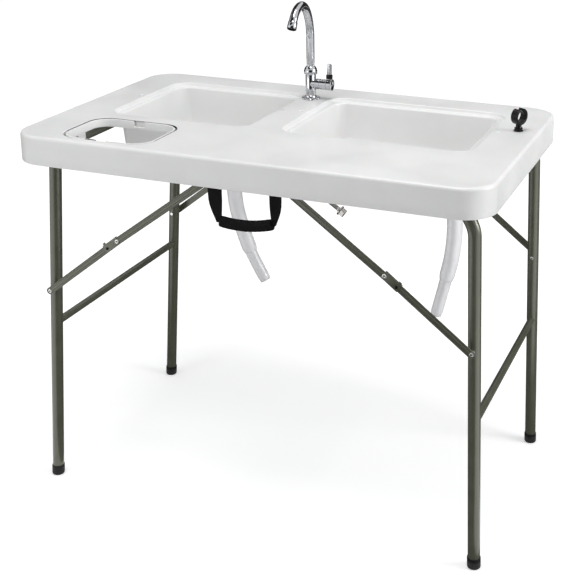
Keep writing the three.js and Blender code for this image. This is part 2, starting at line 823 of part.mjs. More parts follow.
// One strap end: flat at the rim, folded narrow where it enters the grip
function strapEnd(end) {
  const coreEnd = end.gripEnd - end.inward * (coreReach - gripCore / 2);
  const levels = [
    { drop: 0, half: end.width / 2, thick: strapThickness / 2, shift: 0 },
    { drop: 0.5, half: end.width / 2.2, thick: strapThickness / 1.6, shift: 0.1 },
    { drop: 0.82, half: end.width / 3.6, thick: strapThickness, shift: 0.55 },
    { drop: 1.04, half: gripCore * 0.9, thick: gripCore, shift: 1 },
  ];
  const fall = handleTop - end.gripHeight;
  return loft(levels.map(({ drop, half, thick, shift }) => outline(
    THREE.MathUtils.lerp(end.x, coreEnd, shift), handleY, half, thick, thick * 0.6,
    handleTop - fall * drop, 2,
  )).reverse());
}

function carryStrap() {
  return join(tube(gripStations(coreReach), gripCore, 8), ...handleEnds.map(strapEnd));
}

place('carry_strap', carryStrap(), blackWebbing);
place('carry_grip', tube(gripStations(0), gripRadius, 12, gripCore + 2 * clearance), blackWebbing);

// Leg frames: one bent tube each; the right one is cranked so that it folds under the left
const crankDrop = 65;
const crankHeight = hingeHeight - crankDrop;
const crankRadius = 70;
const nestingDrop = 35;
const barSpan = 3;
const rivetRadius = 3;

// The leg's lean that puts its line the given distance outside the hinge
function leanFor(drop) {
  const reach = Math.hypot(footSpread - hingeX, hingeHeight);
  return Math.atan2(footSpread - hingeX, hingeHeight) - Math.asin(drop / reach);
}

const braceShares = {
  left: { bar: 0.49545, rivet: 0.60227, pivot: -0.02027 },
  right: { bar: 0.42273, rivet: 0.62159, pivot: 0.08991 },
};
const sides = [
  { name: 'left', sign: -1, lean: leanFor(0), pivotDrop: 23, foldedDrop: 1.92 },
  { name: 'right', sign: 1, lean: leanFor(nestingDrop), pivotDrop: 51, foldedDrop: 3.5 },
].map((side) => ({
  ...side,
  barHeight: hingeHeight * braceShares[side.name].bar,
  rivetHeight: hingeHeight * braceShares[side.name].rivet,
  pivotX: tableLength * braceShares[side.name].pivot,
  pivotZ: deckHeight - side.pivotDrop,
}));

// Centre of a leg in the X-Z plane at a height
function legX(side, height) {
  return side.sign * (footSpread - Math.tan(side.lean) * height);
}

function legY(height) {
  return footHalfWidth + (hingeHalfWidth - footHalfWidth) * height / hingeHeight;
}

function onLeg(side, across, height) {
  return new THREE.Vector3(legX(side, height), across * legY(height), height);
}

// Turns an upright form at the origin to lie along one leg
function alongLeg(side, across) {
  const direction = onLeg(side, across, hingeHeight).sub(onLeg(side, across, 0)).normalize();
  return new THREE.Quaternion().setFromUnitVectors(new THREE.Vector3(0, 0, 1), direction);
}

function frameStations(side) {
  const end = footSole + legRadius * Math.sin(side.lean) + 2 * clearance;
  const atHinge = (across) => new THREE.Vector3(side.sign * hingeX, across * hingeHalfWidth, hingeHeight);
  const cornerSteps = 5;
  if (side.name === 'left') {
    const corners = [onLeg(side, -1, end), atHinge(-1), atHinge(1), onLeg(side, 1, end)];
    return roundedStations(corners, frameCornerRadius, cornerSteps);
  }
  const crank = onLeg(side, -1, crankHeight);
  const lower = roundedStations([onLeg(side, -1, end), crank, atHinge(-1)], crankRadius, cornerSteps - 2);
  const upper = roundedStations([crank, atHinge(-1), atHinge(0)], frameCornerRadius, cornerSteps);
  const front = [...lower.slice(0, -1), ...upper.slice(1, -1)];
  const rear = front.map((point) => new THREE.Vector3(point.x, -point.y, point.z)).reverse();
  return [...front, ...rear];
}

function legFrame(side) {
  const frame = tube(frameStations(side), legRadius, 14, legRadius - tubeWall);
  const reach = legRadius + overrun;
  const holes = [-1, 1].map((across) => {
    const place = onLeg(side, across, side.rivetHeight);
    return rod(rivetRadius + clearance, -reach, reach, 0, 0, 10)
      .rotateX(Math.PI / 2)
      .translate(place.x, place.y, place.z);
  });
  return cut(frame, ...holes);
}

function crossBar(side) {
  const half = legY(side.barHeight);
  const lie = (form) => form.rotateX(Math.PI / 2).translate(legX(side, side.barHeight), 0, side.barHeight);
  const bar = lie(rod(crossBarRadius, -half, half, 0, 0, 14));
  const bore = lie(rod(crossBarRadius - tubeWall, -half - overrun, half + overrun, 0, 0, 14));
  const reach = barSpan * crossBarRadius;
  const ends = [-1, 1].map((across) => {
    const place = onLeg(side, across, side.barHeight);
    return rod(legRadius + clearance, -reach, reach, 0, 0, 24)
      .applyQuaternion(alongLeg(side, across))
      .translate(place.x, place.y, place.z);
  });
  return cut(bar, bore, ...ends);
}

function footCap(side, across) {
  const bore = legRadius + clearance;
  const cap = turned([
    [0, 0],
    [footRadius - footEase, 0],
    [footRadius, footEase],
    [footRadius, footHeight - edgeEase],
    [footRadius - edgeEase, footHeight],
    [bore, footHeight],
    [bore, footSole],
    [0, footSole],
  ], 18);
  const slopeX = -side.sign * Math.tan(side.lean);
  const slopeY = across * (hingeHalfWidth - footHalfWidth) / hingeHeight;
  const shear = new THREE.Matrix4().makeShear(0, 0, 0, 0, slopeX, slopeY);
  return cap.applyMatrix4(shear).translate(legX(side, 0), across * footHalfWidth, 0);
}

function saddle(side, across) {
  const inner = legRadius + clearance;
  const outer = inner + saddleThickness;
  const flat = hingeHeight - clearance;
  const half = saddleLength / 2;
  const ring = cut(
    rod(outer, -half, half, 0, 0, 24),
    rod(inner, -saddleLength, saddleLength, 0, 0, 24),
  ).rotateX(Math.PI / 2).translate(0, 0, hingeHeight);
  const upper = box(-2 * outer, 2 * outer, -saddleLength, saddleLength, flat, hingeHeight + 2 * outer);
  const flange = (from, to) => box(from, to, -half, half, flat - saddleThickness, flat);
  return join(
    cut(ring, upper),
    flange(-saddleHalfWidth, -inner - saddleThickness / 2),
    flange(inner + saddleThickness / 2, saddleHalfWidth),
  ).translate(side.sign * hingeX, across * saddleY, 0);
}

const frontRear = [['front', -1], ['rear', 1]];
sides.forEach((side) => {
  place(`${side.name}_leg_frame`, legFrame(side), olivePaint);
  place(`${side.name}_cross_bar`, crossBar(side), olivePaint);
  frontRear.forEach(([name, across]) => {
    place(`${side.name}_${name}_foot`, footCap(side, across), blackRubber);
    place(`${side.name}_${name}_saddle`, saddle(side, across), zincPlate);
  });
});

// Folding braces: flat links in two layers outside the legs, with a knee that locks straight
const linkHeight = 17;
const linkThickness = 3;
const innerLayer = footHalfWidth + footRadius + clearance;
const outerLayer = innerLayer + linkThickness + clearance;
const kneeRise = 4.5;
const kneePlateLength = 42;
const kneeFlangeThickness = 2;
const kneePlateHeight = linkHeight + clearance + kneeFlangeThickness;
const rivetHeadRadius = 4.6;
const rivetHeadHeight = 1.8;
const bracketWidth = 26;
const bracketFlange = 17;
const lockDistance = 34.5;
const lockRadius = 3.2;
const lockStroke = 2;

// Link lengths follow from the open span and from the place of the folded leg rivet
function linkage(side) {
  const rivet = new THREE.Vector2(legX(side, side.rivetHeight), side.rivetHeight);
  const pivot = new THREE.Vector2(side.pivotX, side.pivotZ);
  const hinge = new THREE.Vector2(side.sign * hingeX, hingeHeight);
  const folded = rivet.clone().rotateAround(hinge, -side.sign * (Math.PI / 2 + side.lean));
  const span = pivot.distanceTo(rivet);
  const drop = THREE.MathUtils.degToRad(side.foldedDrop);
  const toKnee = new THREE.Vector2(side.sign * Math.cos(drop), -Math.sin(drop));
  const back = pivot.clone().sub(folded);
  const upper = (span ** 2 - back.lengthSq()) / (2 * (span + toKnee.dot(back)));
  const direction = rivet.clone().sub(pivot).normalize();
  const upward = new THREE.Vector2(-direction.y, direction.x).multiplyScalar(side.sign);
  const knee = pivot.clone().addScaledVector(direction, upper).addScaledVector(upward, kneeRise);
  return { rivet, pivot, knee };
}

// A flat link with round ends between two points, in one layer; across is the table side
function link(from, to, half, layer, thickness) {
  const length = from.distanceTo(to);
  const shape = new THREE.Shape();
  shape.absarc(0, 0, half, Math.PI / 2, Math.PI * 1.5, false);
  shape.absarc(length, 0, half, -Math.PI / 2, Math.PI / 2, false);
  return plate(shape, layer, layer + thickness, 6)
    .rotateY(-Math.atan2(to.y - from.y, to.x - from.x))
    .translate(from.x, 0, from.y);
}

function pin(point, radius, y0, y1, facets = 10) {
  return rod(radius, y0, y1, 0, 0, facets).rotateX(-Math.PI / 2).translate(point.x, 0, point.y);
}

function upperLink(side, joints) {
  const { pivot, knee, rivet } = joints;
  const bar = link(pivot, knee, linkHeight / 2, outerLayer, linkThickness);
  const direction = rivet.clone().sub(knee).normalize();
  const length = kneePlateLength;
  const upSide = side.sign;
  const low = upSide * -linkHeight / 2;
  const high = upSide * (kneePlateHeight - linkHeight / 2);
  const strip = (a, b, y0, y1) => box(-linkHeight / 4, length, Math.min(a, b), Math.max(a, b), y0, y1)
    .applyMatrix4(new THREE.Matrix4().makeBasis(
      new THREE.Vector3(direction.x, 0, direction.y),
      new THREE.Vector3(-direction.y, 0, direction.x),
      new THREE.Vector3(0, -1, 0),
    ));
  const cheek = strip(low, high, -outerLayer - linkThickness, -outerLayer);
  const stop = upSide * (linkHeight / 2 + clearance);
  const flange = strip(stop, stop + upSide * kneeFlangeThickness, -outerLayer - linkThickness, -innerLayer);
  const joined = join(bar, cheek.translate(knee.x, 0, knee.y), flange.translate(knee.x, 0, knee.y));
  const lock = knee.clone().addScaledVector(direction, lockDistance);
  const through = [outerLayer - overrun, outerLayer + linkThickness + overrun];
  return cut(
    joined,
    pin(pivot, rivetRadius + clearance, ...through),
    pin(knee, rivetRadius + clearance, ...through),
    pin(lock, lockRadius + clearance, ...through),
  );
}

function lowerLink(side, joints) {
  const { knee, rivet } = joints;
  const bar = link(knee, rivet, linkHeight / 2, innerLayer, linkThickness);
  const direction = rivet.clone().sub(knee).normalize();
  const lock = knee.clone().addScaledVector(direction, lockDistance);
  const through = [innerLayer - overrun, innerLayer + linkThickness + overrun];
  const drilled = cut(
    bar,
    pin(knee, rivetRadius + clearance, ...through),
    pin(lock, lockRadius + clearance, ...through),
  );
  const headStart = innerLayer + linkThickness / 2;
  const head = pin(rivet, rivetHeadRadius, headStart, outerLayer + rivetHeadHeight, 12);
  return join(drilled, head);
}

function kneeRivet(joints) {
  const inner = innerLayer - clearance;
  const outer = outerLayer + linkThickness + clearance;
  return join(
    pin(joints.knee, rivetHeadRadius, inner - rivetHeadHeight, inner, 12),
    pin(joints.knee, rivetRadius, inner - edgeEase, outer + edgeEase, 12),
    pin(joints.knee, rivetHeadRadius, outer, outer + rivetHeadHeight, 12),
  );
}

function legRivet(joints) {
  const innerFace = legY(joints.rivet.y) - legRadius;
  const outerFace = legY(joints.rivet.y) + legRadius;
  return join(
    pin(joints.rivet, rivetHeadRadius, innerFace - clearance - rivetHeadHeight, innerFace - clearance, 12),
    pin(joints.rivet, rivetRadius, innerFace - clearance - edgeEase, innerLayer - clearance, 10),
    pin(joints.rivet, rivetHeadRadius + edgeEase, outerFace + clearance, innerLayer - clearance, 12),
  );
}

function lockButton(joints) {
  const direction = joints.rivet.clone().sub(joints.knee).normalize();
  const lock = joints.knee.clone().addScaledVector(direction, lockDistance);
  const tip = outerLayer + lockStroke + clearance;
  const face = outerLayer + linkThickness + lockStroke + clearance;
  return pin(lock, lockRadius, tip, face, 12);
}

// Bracket for the upper link: a plate in the inner layer, its flange against the deck, and its rivet
function braceBracket(joints) {
  const { pivot } = joints;
  const half = bracketWidth / 2;
  const round = linkHeight / 2 + edgeEase;
  const top = deckUnderside - clearance;
  const shape = new THREE.Shape();
  shape.moveTo(-half, top);
  shape.lineTo(-round, pivot.y);
  shape.absarc(0, pivot.y, round, Math.PI, Math.PI * 2, false);
  shape.lineTo(half, top);
  const upright = plate(shape, innerLayer, innerLayer + linkThickness, 6).translate(pivot.x, 0, 0);
  const flange = box(pivot.x - half, pivot.x + half, innerLayer + linkThickness - bracketFlange,
    innerLayer + linkThickness, top - linkThickness, top);
  const inner = innerLayer + linkThickness / 2;
  const outer = outerLayer + linkThickness + clearance;
  return join(
    upright,
    flange,
    pin(pivot, rivetRadius, inner, outer + edgeEase, 12),
    pin(pivot, rivetHeadRadius, outer, outer + rivetHeadHeight, 12),
  );
}

// The front half of the braces is the rear half mirrored
function mirrored(geometry) {
  const copy = geometry.clone().scale(1, -1, 1);
  const corners = copy.index.array;
  for (let corner = 0; corner < corners.length; corner += 3) {
    [corners[corner], corners[corner + 2]] = [corners[corner + 2], corners[corner]];
  }
  return copy;
}

sides.forEach((side) => {
  const joints = linkage(side);
  frontRear.forEach(([name, across]) => {
    const stem = `${side.name}_${name}`;
    const set = (suffix, geometry, look) => {
      place(`${stem}_${suffix}`, across > 0 ? geometry : mirrored(geometry), look);
    };
    set('brace_bracket', braceBracket(joints), zincPlate);
    set('upper_link', upperLink(side, joints), olivePaint);
    set('lower_link', lowerLink(side, joints), olivePaint);
    set('knee_rivet', kneeRivet(joints), zincPlate);
    set('leg_rivet', legRivet(joints), zincPlate);
    set('lock_button', lockButton(joints), zincPlate);
  });
});

export default model;
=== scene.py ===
import math

import bmesh
import bpy
from mathutils import Matrix, Vector


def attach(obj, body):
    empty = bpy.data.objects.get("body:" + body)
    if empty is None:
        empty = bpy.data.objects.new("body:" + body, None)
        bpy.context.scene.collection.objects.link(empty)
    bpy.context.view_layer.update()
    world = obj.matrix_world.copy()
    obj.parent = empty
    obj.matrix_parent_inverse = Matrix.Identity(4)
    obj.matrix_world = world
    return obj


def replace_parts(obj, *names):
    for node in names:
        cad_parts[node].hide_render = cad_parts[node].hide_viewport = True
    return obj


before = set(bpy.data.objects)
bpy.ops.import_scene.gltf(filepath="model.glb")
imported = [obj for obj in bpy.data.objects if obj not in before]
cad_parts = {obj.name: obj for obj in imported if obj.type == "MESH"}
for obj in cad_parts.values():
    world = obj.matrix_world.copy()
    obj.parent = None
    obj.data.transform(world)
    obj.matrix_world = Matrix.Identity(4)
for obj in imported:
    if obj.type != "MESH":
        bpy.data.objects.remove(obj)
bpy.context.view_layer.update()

scene = bpy.context.scene


# Camera
# It stands to the right of the table's middle and a little above the deck, and looks slightly down.
# The long lens and the sideways shift are those of the photograph.
camera_place = Vector((1.0419, -2.3995, 1.6133))
camera_right = Vector((0.94053638, 0.33948348, 0.01192835))
camera_up = Vector((-0.14419897, 0.3672153, 0.91889041))
camera_back = Vector((0.30756784, -0.86596991, 0.39433252))
camera_data = bpy.data.cameras.new("camera")
camera_data.sensor_width = 36
camera_data.lens = 70.72
camera_data.shift_x = -0.1424
camera = bpy.data.objects.new("camera", camera_data)
camera_turn = Matrix((camera_right, camera_up, camera_back)).transposed().to_4x4()
camera.matrix_world = Matrix.Translation(camera_place) @ camera_turn
scene.collection.objects.link(camera)
scene.camera = camera
scene.view_settings.view_transform = "Standard"


# Moulded top
# One blow-moulded piece of white HDPE: a deck with a rolled rim, two basins with a ledge round each,
# an opening for a waste bag, four dimples, and the hinge blocks and strap lugs under it.
table_half = Vector((0.560, 0.350))
deck = 0.920
wall = 0.005
underside = deck - wall
rim_fold = 0.856
rim_radius = 0.075
basin_y = 0.079
basin_half_y = 0.177
basin_depth = 0.110
ledge_radius = 0.045
ledge_shoulder = 0.005
shell_shoulder = 0.004
drain_hole = 0.0203
basins = {
    "left": {"x": -0.267, "half_x": 0.183, "drain_x": -0.210},
    "right": {"x": 0.222, "half_x": 0.228, "drain_x": 0.375},
}
dimple_y = 0.089
dimple_places = (-0.467, -0.075, -0.025, 0.469)
dimple_radius = 0.0085
waste_centre = Vector((-0.3355, -0.230))
waste_half = Vector((0.114, 0.091))
waste_radius = 0.047
waste_shoulder = 0.004
hinge_x = 0.478
hinge_height = 0.880
saddle_y = 0.210
faucet_place = Vector((-0.054, 0.218, 0))
faucet_hole = 0.0103
clip_place = Vector((0.508, 0.113, 0))
clip_hole = 0.0063


def rounded_face(bm, centre, half, radius, height, facing_up=True, steps=14, grow=0):
    """A flat face with rounded corners, grown by a margin, from which walls are stepped in and down."""
    flat = Matrix.Translation((*centre, height)) @ Matrix.Diagonal((half[0] + grow, half[1] + grow, 1, 1))
    corners = bmesh.ops.create_grid(bm, x_segments=1, y_segments=1, size=1, matrix=flat)["verts"]
    rounded = bmesh.ops.bevel(
        bm, geom=corners, offset=radius + grow, segments=steps, profile=0.5, affect="VERTICES", material=-1,
    )
    face = rounded["verts"][0].link_faces[0]
    if (face.normal.z > 0) != facing_up:
        face.normal_flip()
    return face


def step_in(bm, face, profile):
    """Steps a face through (inset, drop) pairs, both counted from its first outline."""
    inset, drop = 0, 0
    downward = -1 if face.normal.z > 0 else 1
    for next_inset, next_drop in profile:
        bmesh.ops.inset_individual(
            bm, faces=[face], thickness=next_inset - inset, depth=downward * (next_drop - drop),
            use_even_offset=True,
        )
        inset, drop = next_inset, next_drop


def inward_first(inset, drop, run, fall, steps=6):
    """A quarter round that sets off level and ends steep."""
    turns = [math.pi / 2 * step / steps for step in range(steps + 1)]
    return [(inset + run * math.sin(turn), drop + fall * (1 - math.cos(turn))) for turn in turns]


def downward_first(inset, drop, run, fall, steps=6):
    """A quarter round that sets off steep and ends level."""
    turns = [math.pi / 2 * step / steps for step in range(steps + 1)]
    return [(inset + run * (1 - math.cos(turn)), drop + fall * math.sin(turn)) for turn in turns]


def round_hole(bm, x, y, radius, height):
    """An open ring of edges."""
    place = Matrix.Translation((x, y, height))
    bmesh.ops.create_circle(bm, cap_ends=False, segments=40, radius=radius, matrix=place)


def fill_level(bm, height, from_x=-1, to_x=1):
    """Fills the flat region between all open loops at one height."""
    loops = [
        edge for edge in bm.edges if len(edge.link_faces) < 2
        and all(abs(vert.co.z - height) < 1e-5 and from_x < vert.co.x < to_x for vert in edge.verts)
    ]
    bmesh.ops.triangle_fill(bm, use_beauty=True, use_dissolve=False, edges=loops, normal=(0, 0, 1))


def join_rings(bm, x, y, radius, low, high):
    """Walls a round hole between its two rings of edges."""
    def on_ring(vert, height):
        away = math.hypot(vert.co.x - x, vert.co.y - y)
        return abs(vert.co.z - height) < 1e-5 and abs(away - radius) < 1e-4

    rings = [
        edge for edge in bm.edges for height in (low, high)
        if all(on_ring(vert, height) for vert in edge.verts)
    ]
    bmesh.ops.bridge_loops(bm, edges=rings)


def new_object(name, bm):
    """Puts a finished mesh into the scene."""
    mesh = bpy.data.meshes.new(name)
    bm.to_mesh(mesh)
    bm.free()
    made = bpy.data.objects.new(name, mesh)
    scene.collection.objects.link(made)
    return made


def add_piece(name, bm, material, body, smooth_under=38):
    """Makes the mesh a piece of the table: smooth apart from its real edges, and riding on a body."""
    piece = new_object(name, bm)
    piece.data.shade_smooth()
    piece.data.set_sharp_from_angle(angle=math.radians(smooth_under))
    piece.data.materials.append(material)
    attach(piece, body)
    return piece


def feed(tree, node, inputs):
    """Gives each named input of a node a value or another node's output."""
    for name, value in inputs.items():
        if isinstance(value, bpy.types.NodeSocket):
            tree.links.new(value, node.inputs[name])
        else:
            node.inputs[name].default_value = value


def add_node(tree, kind, inputs=None, **settings):
    """A new shader node, set and fed."""
    node = tree.nodes.new(f"ShaderNode{kind}")
    for name, value in settings.items():
        setattr(node, name, value)
    feed(tree, node, inputs or {})
    return node


def tune(material, **inputs):
    """Sets inputs of the material's main shader; an underscore stands for a space in their names."""
    shader = material.node_tree.nodes["Principled BSDF"]
    feed(material.node_tree, shader, {name.replace("_", " "): value for name, value in inputs.items()})


def finish_of(slot, dark, light, roughness, metallic=0, patch_size=0.06, roughness_drift=0.08):
    """A material whose colour and roughness drift over soft patches of a real size."""
    material = bpy.data.materials.new(f"{slot}_finish")
    material["slot"] = slot
    material.use_nodes = True
    tree = material.node_tree
    place = add_node(tree, "TexCoord").outputs["Object"]
    noise = add_node(tree, "TexNoise", {"Vector": place, "Scale": 1 / patch_size, "Detail": 5})
    patches = noise.outputs["Fac"]
    low, high = 0.3, 0.7
    tones = add_node(tree, "ValToRGB", {"Fac": patches})
    for stop, position, colour in zip(tones.color_ramp.elements, (low, high), (dark, light)):
        stop.position = position
        stop.color = (*colour, 1)
    polish = add_node(tree, "MapRange", {
        "Value": patches, "From Min": low, "From Max": high,
        "To Min": roughness - roughness_drift, "To Max": roughness + roughness_drift,
    })
    tune(
        material, Metallic=metallic, Base_Color=tones.outputs["Color"], Roughness=polish.outputs["Result"],
    )
    return material


def add_bump(material, height, depth, strength=1.0):
    """A bump of a real depth, over any bump that is already there."""
    bump = add_node(material.node_tree, "Bump", {"Height": height, "Distance": depth, "Strength": strength})
    normal = material.node_tree.nodes["Principled BSDF"].inputs["Normal"]
    if normal.is_linked:
        feed(material.node_tree, bump, {"Normal": normal.links[0].from_socket})
    tune(material, Normal=bump.outputs["Normal"])


def add_grain(material, size, depth, strength=1.0):
    """A fine bump of the given grain size and depth."""
    tree = material.node_tree
    place = add_node(tree, "TexCoord").outputs["Object"]
    grains = add_node(tree, "TexNoise", {"Vector": place, "Scale": 1 / size, "Detail": 3})
    add_bump(material, grains.outputs["Fac"], depth, strength)


white_plastic = finish_of("white_plastic", (0.80, 0.80, 0.795), (0.84, 0.84, 0.835), 0.42, patch_size=0.12)
add_grain(white_plastic, size=0.0016, depth=0.00012)
add_grain(white_plastic, size=0.010, depth=0.00025, strength=0.5)
tune(white_plastic, Subsurface_Weight=0.06, Subsurface_Scale=0.004, Coat_Weight=0.18, Coat_Roughness=0.2)

top = bmesh.new()
upper_skin = rounded_face(top, (0, 0), table_half, rim_radius, rim_fold, steps=20)
step_in(top, upper_skin, [(0.0008, -0.018), (0.0014, -0.038)]
        + downward_first(0.002, -0.0565, 0.0075, -0.0075, steps=8) + [(0.0115, rim_fold - deck)])
lower_skin = rounded_face(top, (0, 0), table_half, rim_radius, rim_fold, facing_up=False, steps=20)
step_in(top, lower_skin, downward_first(0, 0, 0.002, 0.002, steps=3)
        + [(0.0044, 0.002)] + inward_first(0.0044, 0.002, 0.0006, -0.0006, steps=2)
        + [(0.006, -0.022)] + downward_first(0.007, -0.054, 0.005, -0.005) + [(0.014, rim_fold - underside)])
level_faces = [upper_skin, lower_skin]
ledge = [(0.001, 0)] + inward_first(0.001, 0, 0.0040, 0.0030)
ledge += downward_first(0.0062, 0.0052, 0.0032, 0.0028, steps=5) + [(0.0105, 0.008), (0.0176, 0.008)]
hollow = inward_first(0.0180, 0.008, 0.0048, 0.0048) + [(0.0242, 0.036), (0.0265, 0.064)]
hollow += downward_first(0.0291, 0.092, 0.0194, 0.018, steps=8) + [(0.0491, basin_depth)]
skin = [(0, 0.0065)] + downward_first(0, 0.0065, 0.0015, 0.0015, steps=3)
skin += [(0.0145, 0.008), (0.0165, 0.010), (0.0231, 0.087)]
skin += downward_first(0.0231, 0.087, 0.0214, 0.023) + [(0.045, basin_depth)]
for basin in basins.values():
    half = (basin["half_x"], basin_half_y)
    for height, shoulder, profile in (
        (deck, ledge_shoulder, ledge + hollow), (underside, shell_shoulder, skin),
    ):
        bowl = rounded_face(
            top, (basin["x"], basin_y), half, ledge_radius, height, facing_up=height == deck, grow=shoulder,
        )
        step_in(top, bowl, profile)
        level_faces.append(bowl)
    for height in (deck, underside):
        round_hole(top, basin["drain_x"], basin_y, drain_hole, height - basin_depth)
mouth = rounded_face(top, waste_centre, waste_half, waste_radius, deck, grow=waste_shoulder)
step_in(top, mouth, [(0.0026, 0)] + inward_first(0.0026, 0, 0.0014, 0.0014, steps=4)
        + [(waste_shoulder, 0.0165), (0.012, 0.0165), (0.012, 0.019)])
collar = rounded_face(top, waste_centre, waste_half, waste_radius, underside, facing_up=False, grow=wall)
step_in(top, collar, [(0, 0.014), (0.013, 0.014)])
pressed = [(0.0015, 0)] + inward_first(0.0015, 0, 0.001, 0.001, 3)
pressed += downward_first(0.0025, 0.002, 0.001, 0.001, 3)
for x in dimple_places:
    place = Matrix.Translation((x, dimple_y, deck))
    ring = bmesh.ops.create_circle(top, cap_ends=True, segments=32, radius=dimple_radius, matrix=place)
    dimple = ring["verts"][0].link_faces[0]
    if dimple.normal.z < 0:
        dimple.normal_flip()
    step_in(top, dimple, pressed)
bmesh.ops.delete(top, geom=level_faces + [mouth, collar], context="FACES_ONLY")
bmesh.ops.remove_doubles(top, verts=top.verts, dist=1e-5)
holes = [(faucet_place, faucet_hole), (clip_place, clip_hole)]
for place, radius in holes:
    for height in (deck, underside):
        round_hole(top, place.x, place.y, radius, height)
fill_level(top, deck)
fill_level(top, underside)
for place, radius in holes:
    join_rings(top, place.x, place.y, radius, underside, deck)
for basin in basins.values():
    reach = (basin["x"] - basin["half_x"], basin["x"] + basin["half_x"])
    fill_level(top, deck - basin_depth, *reach)
    fill_level(top, underside - basin_depth, *reach)
    join_rings(top, basin["drain_x"], basin_y, drain_hole, underside - basin_depth, deck - basin_depth)
bmesh.ops.recalc_face_normals(top, faces=top.faces)


def ease_edges(bm, edges, offset, segments=2, clamp_overlap=False):
    """Rounds edges off."""
    bmesh.ops.bevel(
        bm, geom=edges, offset=offset, segments=segments, profile=0.5, affect="EDGES", material=-1,
        clamp_overlap=clamp_overlap,
    )


def block(bm, low, high, ease=0, place=Matrix()):
    """A moulded or pressed block with eased edges."""
    low, high = Vector(low), Vector(high)
    shape = place @ Matrix.Translation((low + high) / 2) @ Matrix.Diagonal((*(high - low), 1))
    corners = bmesh.ops.create_cube(bm, size=1, matrix=shape)["verts"]
    if ease:
        ease_edges(bm, list({edge for vert in corners for edge in vert.link_edges}), ease)


def picked(made, kind):
    """The items of one kind among those that an operator made."""
    return [item for item in made if isinstance(item, kind)]


groove_radius = 0.0145
groove_steps = 16
block_half = 0.024
block_top = 0.037
block_length = 0.030
angles = [math.pi * step / groove_steps for step in range(groove_steps + 1)]
block_outline = [(-groove_radius * math.cos(angle), groove_radius * math.sin(angle)) for angle in angles]
block_outline += [(block_half, 0), (block_half, block_top), (-block_half, block_top), (-block_half, 0)]
for side, across in ((-1, -1), (-1, 1), (1, -1), (1, 1)):
    corner = Vector((side * hinge_x, across * saddle_y - block_length / 2, hinge_height))
    outline = [top.verts.new(corner + Vector((x, 0, z))) for x, z in block_outline]
    pushed = bmesh.ops.extrude_face_region(top, geom=[top.faces.new(outline)])["geom"]
    moved = picked(pushed, bmesh.types.BMVert)
    bmesh.ops.translate(top, vec=(0, block_length, 0), verts=moved)
    shell = list({face for vert in outline + moved for face in vert.link_faces})
    bmesh.ops.recalc_face_normals(top, faces=shell)
strap_ends = {
    "left": {"x": -0.046, "half": 0.0155, "grip_end": -0.034, "grip_height": 0.778, "inward": 1},
    "right": {"x": 0.096, "half": 0.013, "grip_end": 0.087, "grip_height": 0.786, "inward": -1},
}
lug_front, lug_back = -0.3475, -0.335
lug_low, lug_high = 0.8563, 0.8863
for end in strap_ends.values():
    left_edge, right_edge = end["x"] - end["half"], end["x"] + end["half"]
    block(top, (left_edge, lug_front, lug_low), (right_edge, lug_back, lug_high), 0.0008)
moulded_top = add_piece("moulded_top", top, white_plastic, "table")
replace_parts(moulded_top, "table_top", "left_basin", "right_basin")


# Waste bag ring
# A loose band of the same white plastic that drops into the opening and holds the rim of a bag, with
# a deep notch at the back and a finger notch at the front. A near-black strip in the joint round it is
# painted shade: it darkens the gap between ring and opening.
def open_band(bm, face):
    """Takes away the flat face that a band was stepped from, and closes the band's own underside."""
    bmesh.ops.delete(bm, geom=[face], context="FACES_ONLY")
    bmesh.ops.bridge_loops(bm, edges=[edge for edge in bm.edges if edge.is_boundary])


def slice_mesh(bm, place, way, clear_inner=False):
    """Cuts a mesh along a plane, and clears what lies behind the plane if asked."""
    everything = bm.verts[:] + bm.edges[:] + bm.faces[:]
    bmesh.ops.bisect_plane(bm, geom=everything, plane_co=place, plane_no=way, clear_inner=clear_inner)


ring_half = waste_half - Vector((0.003, 0.003))
ring_radius = 0.049
ring_low = 0.9038
ring_height = 0.0158
ring = bmesh.new()
band = rounded_face(ring, waste_centre, ring_half, ring_radius, ring_low)
step_in(ring, band, [(0, 0.001 - ring_height)] + downward_first(0, 0.001 - ring_height, 0.001, -0.001, 4)
        + [(0.004, -ring_height)] + inward_first(0.004, -ring_height, 0.001, 0.001, 4) + [(0.005, 0)])
open_band(ring, band)
notch_from, notch_to = -0.352, -0.322
notch_slant = 0.0005
notch_cuts = [edge + slant for edge in (notch_from, notch_to) for slant in (-notch_slant, notch_slant)]
for x in notch_cuts:
    slice_mesh(ring, (x, 0, 0), (1, 0, 0))
for across, depth in ((1, 0.013), (-1, 0.006)):
    lowered = [
        vert for vert in ring.verts if notch_from < vert.co.x < notch_to
        and (vert.co.y - waste_centre.y) * across > 0 and vert.co.z > ring_low + ring_height / 2
    ]
    bmesh.ops.translate(ring, vec=(0, 0, -depth), verts=lowered)
bmesh.ops.recalc_face_normals(ring, faces=ring.faces)
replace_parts(add_piece("waste_bag_ring", ring, white_plastic, "waste_ring", 30), "waste_ring")

